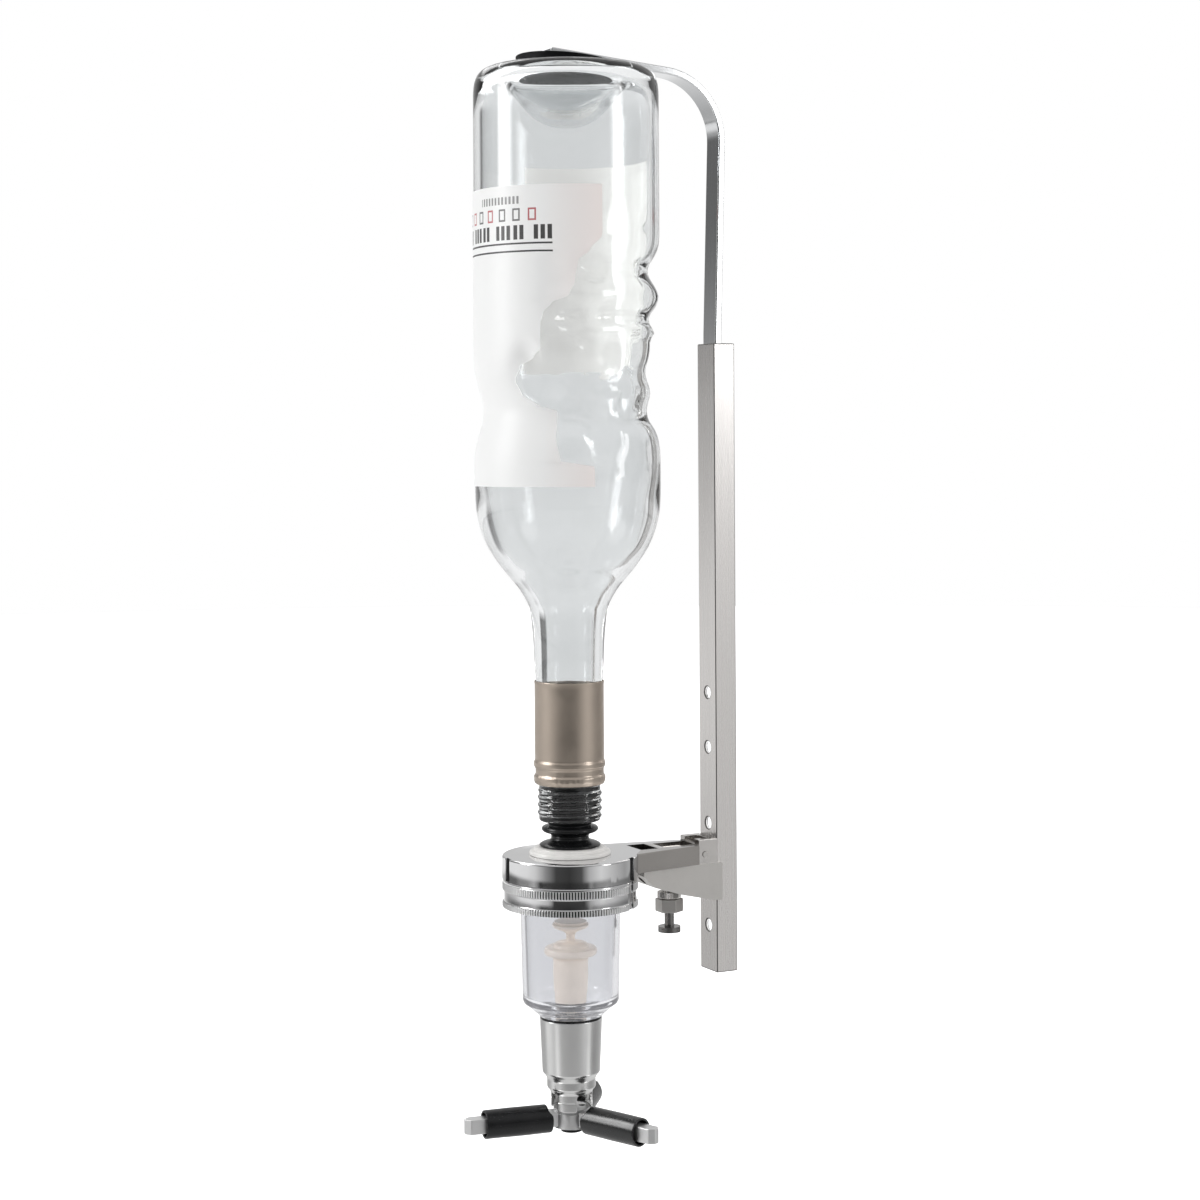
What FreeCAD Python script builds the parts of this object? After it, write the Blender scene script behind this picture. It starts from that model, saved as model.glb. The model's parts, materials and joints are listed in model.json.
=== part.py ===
import FreeCAD, Part
import math
import os
import Sketcher

# A wall-mounted spirit optic: an aluminium rail on the wall, a sprung hold-down arm over an
# upside-down bottle, and a measuring chamber with three push levers hanging from a collar.
#
# Frame: millimetres, +Z up, +Y towards the wall. The origin is the midpoint between the two
# outer wall holes, on the rail's back face. The bottle and the optic share one upright axis.

DIMENSIONS = {
    # Rail, a rectangular aluminium tube
    "rail_wall": 1.5, "rail_top": 196, "rail_bottom": -68,
    "wall_hole_diameter": 5, "outer_hole_reach": 49, "upper_hole_level": 26, "lower_hole_level": -6,
    # The upright axis of the bottle and the optic, in front of the wall
    "axis_offset": 75,
    # Hold-down arm, a bent flat bar that slides in the rail
    "bar_width": 10.5, "bar_thickness": 3, "bar_front_gap": 0.3, "bar_side_gap": 0.25,
    "bar_bottom": 60, "bar_overhang": 9, "bar_rise_angle": 5, "bar_bend_radius": 26,
    "bar_lean": 3, "bar_lean_margin": 4,
    # Guide block at the rail's mouth, glide and brake spring at the bar's foot
    "brake_space": 3.7, "guide_height": 12, "guide_inset": 1, "guide_gap": 0.25,
    "glide_height": 18, "glide_gap": 0.25, "brake_height": 26, "brake_thickness": 0.5,
    "brake_gap": 0.3, "rivet_radius": 1.5,
    "rivet_spacing": 10, "rivet_head_height": 0.25,
    # Press pad on the bottle's base
    "pad_radius": 20.5, "pad_thickness": 2.6, "pad_gap": 0.2, "washer_radius": 10, "washer_thickness": 0.8,
    "plate_radius": 12, "plate_thickness": 0.8, "plate_cover": 0.4,
    "pad_screw_radius": 2, "pad_screw_head_radius": 3.8, "pad_screw_head_height": 1.2,
    # Bottle, standing on its mouth
    "mouth_level": -0.8, "base_level": 308, "bottle_radius": 38, "glass_wall": 3.4,
    "base_round": 9, "punt_radius": 19.5, "punt_depth": 18, "punt_glass": 6,
    "finish_radius": 13.2, "finish_height": 16, "bore_radius": 9.4, "capsule_seat_radius": 13.8,
    "neck_radius": 14.6, "neck_height": 58.2, "throat_radius": 15.3, "throat_height": 86.1,
    "lower_shoulder_radius": 28.1, "lower_shoulder_height": 102.9,
    "upper_shoulder_radius": 36.2, "upper_shoulder_height": 117,
    "body_height": 132, "shoulder_round": 14,
    "waist_bottom": 151, "waist_top": 183, "waist_depth": 4.5, "waist_slope": 8,
    # Labels and neck capsule
    "label_gap": 0.15, "label_thickness": 0.25, "front_label_bottom": 137, "front_label_drop": 51,
    "front_label_angle": 116, "front_label_turn": -62, "back_label_height": 87.5,
    "back_label_drop": 37, "back_label_angle": 109, "back_label_turn": 129.5,
    "capsule_radius": 14.2, "capsule_bead": 0.5, "capsule_bead_width": 3.4,
    "capsule_lower_bead": 2.6, "capsule_upper_bead": 8.4,
    # Stopper in the bottle's mouth
    "stopper_plug_height": 18, "stopper_plug_gap": 0.2, "stopper_rib_gap": 0.05,
    "stopper_rib_pitch": 4.2, "stopper_rib_width": 1.4, "top_flange_radius": 11.8,
    "top_flange_thickness": 2.3, "stopper_neck_radius": 7.6, "low_flange_radius": 12.7,
    "low_flange_thickness": 1.5, "low_flange_level": -10.15, "top_flange_level": -4.4,
    "stopper_spigot_length": 4, "tube_radius": 3.4, "tube_wall": 0.7, "tube_top": 24,
    # Seal washer, in two tiers on the collar
    "seal_radius": 16.7, "seal_tier_radius": 14.8, "seal_base_thickness": 1.8,
    # Collar with its arm, carried by the rail
    "collar_top": -13.6, "collar_height": 9.4, "collar_wall": 3.2,
    "collar_roof": 3, "collar_edge": 0.8, "index_width": 4, "index_depth": 1.1,
    "right_index_turn": 38, "left_index_turn": -92,
    "arm_thickness": 8, "arm_root_width": 30, "arm_end_width": 17, "arm_root_inset": 6.9,
    "arm_window_width": 13, "arm_window_length": 8, "arm_window_margin": 1.6,
    "arm_channel_width": 10, "arm_channel_depth": 1.6, "arm_web": 3.4,
    # Holder block between the arm and the rail
    "holder_depth": 9, "holder_rise": 2.2, "tongue_width": 8,
    "tongue_length": 6, "tongue_gap": 0.1, "hook_pin_radius": 1.2, "hook_pin_level": -17.6,
    "hook_pin_stand": 0.4,
    # Gusset bracket below the arm
    "gusset_cheek": 1, "gusset_margin": 2.1, "gusset_toe": 5.6, "gusset_floor_front": 27.4,
    "gusset_nose_level": -29.7, "gusset_floor_level": -33.5, "gusset_back_level": -37.2,
    "gusset_wall": 1.5, "gusset_floor": 2.6, "gusset_lap": 2.3, "gusset_lap_gap": 0.05,
    "bracket_screw_radius": 2, "bracket_screw_head_radius": 3.4, "bracket_screw_head_height": 2,
    "upper_screw_level": -14.4, "lower_screw_level": -27, "screw_access_radius": 3.9,
    # Lock plunger in the gusset's floor
    "plunger_offset": 28.9, "bushing_radius": 2.9, "bushing_bore": 2.3, "bushing_top": -27,
    "bushing_shoulder": -36,
    "nut_across_flats": 10.2, "nut_height": 5.4, "nut_floor": 1.2, "plunger_radius": 1.2,
    "plunger_tip_level": -18.6, "plunger_collar_radius": 2.1, "plunger_collar_height": 1.2,
    "plunger_collar_level": -31.2, "knob_radius": 4.7, "knob_thickness": 2.3,
    "knob_hub_radius": 2, "knob_level": -49.9, "knob_gap": 0.4, "plunger_wire_radius": 0.2,
    "plunger_coil_radius": 1.75, "plunger_coils": 5,
    # Clamp ring below the collar
    "clamp_gap": 0.8, "clamp_wall": 4, "clamp_height": 10.5, "clamp_lip": 2.2, "clamp_band": 2.4,
    "clamp_waist_depth": 0.7, "running_gap": 0.3,
    # Chamber head inside the collar
    "head_gap": 0.2, "head_seat_radius": 9, "head_bore": 2.8,
    "head_roof": 3.5, "gasket_thickness": 1.2,
    # Measuring chamber
    "chamber_top_radius": 20.6, "chamber_bottom_radius": 19.7, "chamber_wall": 2.2,
    "chamber_flange_width": 3, "chamber_flange_thickness": 2,
    "chamber_corner_level": -73.9, "chamber_bottom": -79.5,
    "chamber_foot_radius": 13, "chamber_floor": 3.6,
    # Valves on one stem
    "lever_travel": 6, "stem_radius": 1.7, "cone_radius": 7.4, "cone_top": -41.8, "cone_height": 4.5,
    "cone_seal_thickness": 0.8, "valve_neck_radius": 2.6, "dome_top": -51, "dome_radius": 11,
    "dome_thickness": 3.7, "dome_edge": 2.2, "sleeve_radius": 7.4, "sleeve_wall": 1.2,
    "sleeve_top": -55.2, "sleeve_roof": 1.6, "sleeve_port_width": 4, "sleeve_port_height": 6,
    "outlet_radius": 4.5, "outlet_valve_radius": 5.9, "outlet_valve_thickness": 2.4,
    "valve_lift_gap": 0.3, "spring_coil_radius": 4, "spring_wire_radius": 0.35, "spring_coils": 5,
    # Spout barrel with its skirt
    "spigot_radius": 8.2, "spigot_gap": 0.2, "barrel_seal_thickness": 0.8,
    "barrel_top_radius": 12.85, "barrel_low_radius": 11.85, "barrel_shoulder_level": -102.7,
    "tier_radius": 10, "tier_top": -105, "skirt_wall": 0.9, "skirt_gap": 0.3,
    "skirt_bottom": -117.6, "skirt_slot_width": 9.4, "slot_margin": 1.6,
    # Levers
    "hub_radius": 7.4, "hub_roof": 1, "hub_floor": 0.8, "hub_groove_level": -118.8,
    "hub_groove_height": 0.9, "hub_groove_depth": 0.8, "drain_radius": 1.3, "drain_offset": 4.6,
    "lever_level": -121, "lever_width": 6, "lever_height": 6, "lever_reach": 45.4,
    "lever_root": 5, "lever_chamfer": 2, "lever_turn": 22, "grip_wall": 1.5,
    "grip_slack": 0.14, "grip_start": 10.5, "grip_end": 37.7, "tip_radius": 4.3,
    "tip_wall": 1.1, "tip_height": 2, "stem_nut_radius": 3, "stem_nut_height": 1.6,
}
LEVER_COUNT = 3


class Size:
    """A length: its number, and the spreadsheet expression that works it out."""

    def __init__(self, number, words):
        self.number = number
        self.words = words

    def __add__(self, other):
        other = as_size(other)
        return Size(self.number + other.number, f"({self.words} + {other.words})")

    def __sub__(self, other):
        other = as_size(other)
        return Size(self.number - other.number, f"({self.words} - {other.words})")

    def __rsub__(self, other):
        return as_size(other) - self

    def __mul__(self, other):
        other = as_size(other)
        return Size(self.number * other.number, f"({self.words} * {other.words})")

    def __truediv__(self, other):
        other = as_size(other)
        return Size(self.number / other.number, f"({self.words} / {other.words})")

    def __neg__(self):
        return Size(-self.number, f"(0 - {self.words})")

    __radd__ = __add__
    __rmul__ = __mul__


def as_size(value):
    return value if isinstance(value, Size) else Size(float(value), repr(float(value)))


def tangent(angle):
    return Size(math.tan(math.radians(angle.number)), f"tan({angle.words})")


def cosine(angle):
    return Size(math.cos(math.radians(angle.number)), f"cos({angle.words})")


def sine(angle):
    return Size(math.sin(math.radians(angle.number)), f"sin({angle.words})")


def square_root(size):
    return Size(math.sqrt(size.number), f"sqrt({size.words})")


document = FreeCAD.newDocument("spirit_optic")
sheet = document.addObject("Spreadsheet::Sheet", "dims")
for row, (alias, millimetres) in enumerate(DIMENSIONS.items(), start=1):
    sheet.set(f"A{row}", alias)
    sheet.set(f"B{row}", str(millimetres))
    sheet.setAlias(f"B{row}", alias)
document.recompute()


class Dims:
    """Gives each spreadsheet cell as a Size under its alias."""

    def __getattr__(self, alias):
        return Size(float(DIMENSIONS[alias]), f"dims.{alias}")


dims = Dims()
ZERO = as_size(0)
pieces = []


def bind(thing, path, size):
    thing.setExpression(path, as_size(size).words)


class Piece:
    """One named PartDesign body, built feature by feature and placed in the frame."""

    def __init__(self, label):
        self.body = document.addObject("PartDesign::Body", label)
        self.body.Label = label
        self.count = 0
        pieces.append(self.body)

    def feature(self, kind, **settings):
        self.count += 1
        made = self.body.newObject(kind, f"{self.body.Name}_{kind.split('::')[1]}_{self.count}")
        for name, value in settings.items():
            setattr(made, name, value)
        return made

    def origin(self, role):
        return next(part for part in self.body.Origin.OriginFeatures if part.Role == role)

    def sketch(self, plane, lift=ZERO):
        sketch = self.feature("Sketcher::SketchObject")
        sketch.AttachmentSupport = [(self.origin(plane), "")]
        sketch.MapMode = "FlatFace"
        if lift is not ZERO:
            bind(sketch, "AttachmentOffset.Base.z", lift)
        return sketch

    def outline(self, plane, points, lift=ZERO):
        """A closed outline of straight sides, every corner bound to its two sizes."""
        sketch = self.sketch(plane, lift)
        corners = [(as_size(across), as_size(up)) for across, up in points]
        spots = [FreeCAD.Vector(across.number, up.number, 0) for across, up in corners]
        total = len(spots)
        for index, spot in enumerate(spots):
            sketch.addGeometry(Part.LineSegment(spot, spots[(index + 1) % total]), False)
        for index in range(total):
            sketch.addConstraint(
                Sketcher.Constraint("Coincident", index, 2, (index + 1) % total, 1))
        for index, (across, up) in enumerate(corners):
            pin_point(sketch, index, 1, across, up)
        return sketch

    def circle(self, plane, radius, across=ZERO, up=ZERO, lift=ZERO):
        sketch = self.sketch(plane, lift)
        across, up = as_size(across), as_size(up)
        middle = FreeCAD.Vector(across.number, up.number, 0)
        sketch.addGeometry(Part.Circle(middle, FreeCAD.Vector(0, 0, 1), radius.number), False)
        held = sketch.addConstraint(Sketcher.Constraint("Radius", 0, radius.number))
        bind(sketch, f"Constraints[{held}]", radius)
        pin_point(sketch, 0, 3, across, up)
        return sketch

    def turn(self, points, cut=False, angle=None):
        """A full or part turn of an outline of (radius, height) about the upright axis."""
        sketch = self.outline("XZ_Plane", points)
        kind = "PartDesign::Groove" if cut else "PartDesign::Revolution"
        made = self.feature(kind, Profile=sketch, ReferenceAxis=(sketch, ["V_Axis"]), Angle=360)
        if angle is not None:
            bind(made, "Angle", angle)
        return self

    def pad(self, sketch, length, both_ways=False):
        made = self.feature("PartDesign::Pad", Profile=sketch)
        made.SideType = "Symmetric" if both_ways else "One side"
        bind(made, "Length", length)
        return self

    def pocket(self, sketch, length=None, both_ways=False, reverse=False):
        made = self.feature("PartDesign::Pocket", Profile=sketch, Reversed=reverse)
        made.SideType = "Symmetric" if both_ways else "One side"
        if length is None:
            made.Type = "ThroughAll"
        else:
            bind(made, "Length", length)
        return self

    def repeat(self, count):
        """Repeat the last cut or boss evenly about the upright axis."""
        last = self.body.Tip
        pattern = self.feature("PartDesign::PolarPattern", Originals=[last], Occurrences=count)
        pattern.Axis = (self.origin("Z_Axis"), [""])
        pattern.Angle = 360
        self.body.Tip = pattern
        return self

    def soften(self, radius, picked, kind="PartDesign::Fillet"):
        """Round (or chamfer) the edges that the picking function accepts."""
        document.recompute()
        shape = self.body.Tip.Shape
        names = [f"Edge{n}" for n, edge in enumerate(shape.Edges, 1) if picked(edge)]
        if not names:
            raise RuntimeError(f"{self.body.Label}: no edge picked")
        made = self.feature(kind, Base=(self.body.Tip, names))
        bind(made, "Size" if kind.endswith("Chamfer") else "Radius", radius)
        return self

    def place(self, across=ZERO, forward=ZERO, level=ZERO, turn=None):
        """Set the piece in the frame: forward is the distance out from the wall."""
        bind(self.body, "Placement.Base.x", across)
        bind(self.body, "Placement.Base.y", -as_size(forward))
        bind(self.body, "Placement.Base.z", level)
        if turn is not None:
            self.body.Placement.Rotation = FreeCAD.Rotation(FreeCAD.Vector(0, 0, 1), turn.number)
            bind(self.body, "Placement.Rotation.Angle", turn)
        return self


def pin_point(sketch, index, end, across, up):
    """Hold one sketch point at its two sizes, or on the sketch's axis where a size is zero."""
    for kind, axis, size in (("DistanceX", -2, across), ("DistanceY", -1, up)):
        if size.words == ZERO.words:
            sketch.addConstraint(Sketcher.Constraint("PointOnObject", index, end, axis))
            continue
        held = sketch.addConstraint(Sketcher.Constraint(kind, -1, 1, index, end, size.number))
        bind(sketch, f"Constraints[{held}]", size)


def box_outline(left, right, bottom, top):
    return [(left, bottom), (right, bottom), (right, top), (left, top)]


def ring_outline(inner, outer, bottom, top):
    return box_outline(inner, outer, bottom, top)


def circle_at(radius, level=None):
    """Accepts full or part circles of one radius, and at one height if it is given."""
    def picked(edge):
        if not hasattr(edge.Curve, "Radius"):
            return False
        if abs(edge.Curve.Radius - radius.number) > 0.01:
            return False
        return level is None or abs(edge.Curve.Center.z - level.number) < 0.01
    return picked


def upright_at(*spots):
    """Accepts straight edges along Z that pass through one of the (x, y) spots."""
    def picked(edge):
        start, end = edge.Vertexes[0].Point, edge.Vertexes[-1].Point
        if abs(start.x - end.x) > 0.01 or abs(start.y - end.y) > 0.01:
            return False
        return any(abs(start.x - x.number) < 0.01 and abs(start.y - y.number) < 0.01
                   for x, y in spots)
    return picked


def crosswise_at(y, z):
    """Accepts straight edges along X at one (y, z)."""
    def picked(edge):
        start, end = edge.Vertexes[0].Point, edge.Vertexes[-1].Point
        along_x = abs(start.y - end.y) < 0.01 and abs(start.z - end.z) < 0.01
        return along_x and abs(start.y - y.number) < 0.01 and abs(start.z - z.number) < 0.01
    return picked


# ---------------------------------------------------------------- rail and hold-down arm

bar_back = dims.rail_wall + dims.brake_space
bar_front = bar_back + dims.bar_thickness
rail_inner_front = bar_front + dims.bar_front_gap
rail_depth = rail_inner_front + dims.rail_wall
inner_width = dims.bar_width + dims.bar_side_gap * 2
rail_width = inner_width + dims.rail_wall * 2


def make_rail():
    rail = Piece("rail")
    half = rail_width / 2
    rail.pad(rail.outline("XY_Plane", box_outline(-half, half, -rail_depth, ZERO)),
             dims.rail_top - dims.rail_bottom)
    rail.pocket(rail.outline("XY_Plane", box_outline(
        -inner_width / 2, inner_width / 2, -rail_inner_front, -dims.rail_wall)), reverse=True)
    for level in (dims.outer_hole_reach, dims.upper_hole_level, dims.lower_hole_level,
                  -dims.outer_hole_reach):
        rail.pocket(rail.circle("XZ_Plane", dims.wall_hole_diameter / 2, ZERO,
                                level - dims.rail_bottom), both_ways=True)
    for level in (dims.upper_screw_level, dims.lower_screw_level):
        height = level - dims.rail_bottom
        rail.pocket(rail.circle("XZ_Plane", dims.bracket_screw_radius, ZERO, height),
                    both_ways=True)
        rail.pocket(rail.circle("XZ_Plane", dims.screw_access_radius, ZERO, height),
                    dims.rail_wall * 2, both_ways=True)
    rail.place(level=dims.rail_bottom)


def make_guide_block():
    block = Piece("guide_block")
    half = inner_width / 2
    block.pad(block.outline("XY_Plane", box_outline(
        -half, half, -(bar_back - dims.guide_gap), -dims.rail_wall)), dims.guide_height)
    block.place(level=dims.rail_top - dims.guide_inset - dims.guide_height)


bar_drop = dims.bar_thickness / cosine(dims.bar_rise_angle)
washer_drop = bar_drop + dims.washer_thickness
pad_bottom = dims.base_level + dims.pad_gap
bar_level_at_axis = pad_bottom + dims.pad_thickness + washer_drop


def under_bar(forward, drop):
    """Height of a face parallel to the reach's top, a plumb drop below it, at one place."""
    return bar_level_at_axis + (forward - dims.axis_offset) * tangent(dims.bar_rise_angle) - drop


bar_corner_level = under_bar(bar_back - dims.bar_lean, ZERO)
bar_reach = dims.axis_offset - bar_back + dims.bar_overhang
plate_bottom = pad_bottom + dims.plate_cover
screw_bottom = plate_bottom + dims.plate_thickness
screw_head_top = under_bar(dims.axis_offset - dims.pad_screw_head_radius, ZERO)
screw_head_seat = screw_head_top - dims.pad_screw_head_height


def make_hold_down_arm():
    """The leg leans back above the rail, and its back meets the reach's top in the outer corner."""
    arm = Piece("hold_down_arm")
    thick = dims.bar_thickness
    tilt = dims.bar_rise_angle
    corner_height = bar_corner_level - dims.bar_bottom
    inner_corner = corner_height + thick * tangent(tilt) - thick / cosine(tilt)
    lean = dims.bar_lean
    lean_start = dims.rail_top + dims.bar_lean_margin - dims.bar_bottom
    tip_height = corner_height + (bar_reach + lean) * tangent(tilt)
    arm.pad(arm.outline("YZ_Plane", [
        (ZERO, ZERO), (ZERO, lean_start), (lean, corner_height), (-bar_reach, tip_height),
        (-(bar_reach + thick * sine(tilt)), tip_height - thick * cosine(tilt)),
        (lean - thick, inner_corner), (-thick, lean_start), (-thick, ZERO)]),
        dims.bar_width, both_ways=True)
    arm.soften(dims.bar_bend_radius + thick, crosswise_at(lean, corner_height))
    arm.soften(dims.bar_bend_radius, crosswise_at(lean - thick, inner_corner))
    at_axis = -(dims.axis_offset - bar_back)
    seat = screw_head_seat - dims.bar_bottom
    arm.pocket(arm.circle("XY_Plane", dims.pad_screw_radius, ZERO, at_axis, lift=seat))
    arm.pocket(arm.circle("XY_Plane", dims.pad_screw_head_radius, ZERO, at_axis, lift=seat),
               reverse=True)
    for level in rivet_levels:
        arm.pocket(arm.circle("XZ_Plane", dims.rivet_radius, ZERO, level - dims.bar_bottom),
                   both_ways=True)
    arm.place(forward=bar_back, level=dims.bar_bottom)


def cut_above_slope(piece, spare, height):
    """Cut a round piece on the bottle's axis off along a face parallel to the reach."""
    fall = spare * tangent(dims.bar_rise_angle)
    above = height + spare * 2
    piece.pocket(piece.outline("YZ_Plane", [
        (-spare, height + fall), (spare, height - fall), (spare, above), (-spare, above)]),
        spare * 2, both_ways=True)


def cut_below_slope(piece, spare, height):
    fall = spare * tangent(dims.bar_rise_angle)
    below = height - spare * 2
    piece.pocket(piece.outline("YZ_Plane", [
        (-spare, height + fall), (-spare, below), (spare, below), (spare, height - fall)]),
        spare * 2, both_ways=True)


def make_pad():
    washer = Piece("pad_washer")
    spare = dims.washer_radius * 2
    washer.pad(washer.circle("XY_Plane", dims.washer_radius, lift=-spare), spare * 2)
    washer.pocket(washer.circle("XY_Plane", dims.pad_screw_radius, lift=-spare), reverse=True)
    cut_above_slope(washer, spare, dims.washer_thickness)
    cut_below_slope(washer, spare, ZERO)
    washer.place(forward=dims.axis_offset, level=under_bar(dims.axis_offset, washer_drop))

    pad = Piece("press_pad")
    spare = dims.pad_radius * 2
    pad.pad(pad.circle("XY_Plane", dims.pad_radius), spare)
    cut_above_slope(pad, spare, under_bar(dims.axis_offset, washer_drop) - pad_bottom)
    pad.pocket(pad.circle("XY_Plane", dims.plate_radius, lift=dims.plate_cover),
               dims.plate_thickness, reverse=True)
    pad.pocket(pad.circle("XY_Plane", dims.pad_screw_radius, lift=dims.plate_cover),
               reverse=True)
    pad.place(forward=dims.axis_offset, level=pad_bottom)

    plate = Piece("pad_plate")
    plate.pad(plate.circle("XY_Plane", dims.plate_radius), dims.plate_thickness)
    plate.place(forward=dims.axis_offset, level=plate_bottom)

    screw = Piece("pad_screw")
    screw.turn([(ZERO, ZERO), (dims.pad_screw_radius, ZERO),
                (dims.pad_screw_radius, screw_head_seat - screw_bottom),
                (dims.pad_screw_head_radius, screw_head_seat - screw_bottom),
                (dims.pad_screw_head_radius, screw_head_top - screw_bottom),
                (ZERO, screw_head_top - screw_bottom)])
    screw.place(forward=dims.axis_offset, level=screw_bottom)


rivet_levels = [dims.bar_bottom + dims.glide_height / 2,
                dims.bar_bottom + dims.glide_height + dims.rivet_spacing]


def make_bar_foot():
    """The glide, the bowed brake spring above it, and the rivet that holds each."""
    space = dims.brake_space
    half = dims.bar_width / 2
    glide = Piece("bar_glide")
    glide.pad(glide.outline("XY_Plane", box_outline(
        -half, half, ZERO, space - dims.glide_gap)), dims.glide_height)
    glide.pocket(glide.circle("XZ_Plane", dims.rivet_radius, ZERO, dims.glide_height / 2),
                 both_ways=True)
    glide.place(forward=bar_back, level=dims.bar_bottom)

    spring = Piece("brake_spring")
    flat = dims.rivet_spacing * 2
    thick = dims.brake_thickness
    crest = flat + (dims.brake_height - dims.rivet_spacing) / 2
    end = flat + dims.brake_height - dims.rivet_spacing
    bow = space - thick - dims.brake_gap
    spring.pad(spring.outline("YZ_Plane", [
        (ZERO, ZERO), (thick, ZERO), (thick, flat), (bow + thick, crest),
        (thick, end), (ZERO, end), (bow, crest), (ZERO, flat)]),
        half, both_ways=True)
    spring.pocket(spring.circle("XZ_Plane", dims.rivet_radius, ZERO, dims.rivet_spacing),
                  both_ways=True)
    spring.place(forward=bar_back, level=dims.bar_bottom + dims.glide_height)

    rivets = Piece("glide_rivets")
    first, second = rivet_levels
    lengths = ((first, dims.bar_thickness + space - dims.glide_gap * 2),
               (second, dims.bar_thickness + thick + dims.rivet_head_height))
    for level, length in lengths:
        rivets.pad(rivets.circle("XZ_Plane", dims.rivet_radius, ZERO,
                                 level - dims.bar_bottom, lift=-length), length)
    rivets.place(forward=bar_front, level=dims.bar_bottom)


# ---------------------------------------------------------------- bottle and its dress

waist_radius = dims.bottle_radius - dims.waist_depth


def make_bottle():
    """The bottle stands on its mouth; heights run from the mouth up to the base."""
    bottle = Piece("bottle")
    wall = dims.glass_wall
    base = dims.base_level - dims.mouth_level
    low = dims.waist_bottom - dims.mouth_level
    high = dims.waist_top - dims.mouth_level
    slope = dims.waist_slope
    punt_top = base - dims.punt_depth
    bottle.turn([
        (dims.bore_radius, ZERO), (dims.finish_radius, ZERO),
        (dims.finish_radius, dims.finish_height),
        (dims.capsule_seat_radius, dims.finish_height),
        (dims.capsule_seat_radius, dims.neck_height), (dims.neck_radius, dims.neck_height),
        (dims.throat_radius, dims.throat_height),
        (dims.lower_shoulder_radius, dims.lower_shoulder_height),
        (dims.upper_shoulder_radius, dims.upper_shoulder_height),
        (dims.bottle_radius, dims.body_height), (dims.bottle_radius, low),
        (waist_radius, low + slope), (waist_radius, high - slope), (dims.bottle_radius, high),
        (dims.bottle_radius, base), (dims.punt_radius, base), (ZERO, punt_top),
        (ZERO, punt_top - dims.punt_glass),
        (dims.punt_radius, base - dims.punt_glass), (dims.bottle_radius - wall, base - wall * 2),
        (dims.bottle_radius - wall, high), (waist_radius - wall, high - slope),
        (waist_radius - wall, low + slope), (dims.bottle_radius - wall, low),
        (dims.bottle_radius - wall, dims.body_height),
        (dims.upper_shoulder_radius - wall, dims.upper_shoulder_height + wall / 4),
        (dims.lower_shoulder_radius - wall, dims.lower_shoulder_height + wall / 2),
        (dims.bore_radius + wall / 2, dims.throat_height + wall),
        (dims.bore_radius, dims.neck_height)])
    bottle.soften(dims.base_round, circle_at(dims.bottle_radius, base))
    bottle.soften(dims.shoulder_round, circle_at(dims.lower_shoulder_radius,
                                                 dims.lower_shoulder_height))
    bottle.soften(dims.shoulder_round, circle_at(dims.throat_radius, dims.throat_height))
    bottle.place(forward=dims.axis_offset, level=dims.mouth_level)


def make_labels():
    """Thin paper that follows the glass, each over a part of the way round."""
    inside = dims.bottle_radius + dims.label_gap
    outside = inside + dims.label_thickness
    waist_inside = waist_radius + dims.label_gap
    waist_outside = waist_inside + dims.label_thickness
    low = dims.waist_bottom - dims.front_label_bottom
    high = dims.waist_top - dims.front_label_bottom
    top = dims.base_level - dims.front_label_drop - dims.front_label_bottom
    slope = dims.waist_slope
    front = Piece("front_label")
    front.turn([
        (inside, ZERO), (outside, ZERO), (outside, low), (waist_outside, low + slope),
        (waist_outside, high - slope), (outside, high), (outside, top), (inside, top),
        (inside, high), (waist_inside, high - slope), (waist_inside, low + slope),
        (inside, low)],
        angle=dims.front_label_angle)
    front.place(forward=dims.axis_offset, level=dims.front_label_bottom,
                turn=dims.front_label_turn - dims.front_label_angle / 2)
    back = Piece("back_label")
    back.turn(ring_outline(inside, outside, ZERO, dims.back_label_height),
              angle=dims.back_label_angle)
    back.place(forward=dims.axis_offset,
               level=dims.base_level - dims.back_label_drop - dims.back_label_height,
               turn=dims.back_label_turn - dims.back_label_angle / 2)


def make_neck_capsule():
    capsule = Piece("neck_capsule")
    height = dims.neck_height - dims.finish_height
    bead = dims.capsule_bead
    profile = [(dims.capsule_seat_radius, ZERO), (dims.capsule_radius, ZERO)]
    for level in (dims.capsule_lower_bead, dims.capsule_upper_bead):
        crown = dims.capsule_bead_width / 4
        profile += [
            (dims.capsule_radius, level - crown * 2), (dims.capsule_radius + bead, level - crown),
            (dims.capsule_radius + bead, level + crown), (dims.capsule_radius, level + crown * 2)]
    profile += [(dims.capsule_radius, height), (dims.capsule_seat_radius, height)]
    capsule.turn(profile)
    capsule.place(forward=dims.axis_offset, level=dims.mouth_level + dims.finish_height)


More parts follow.
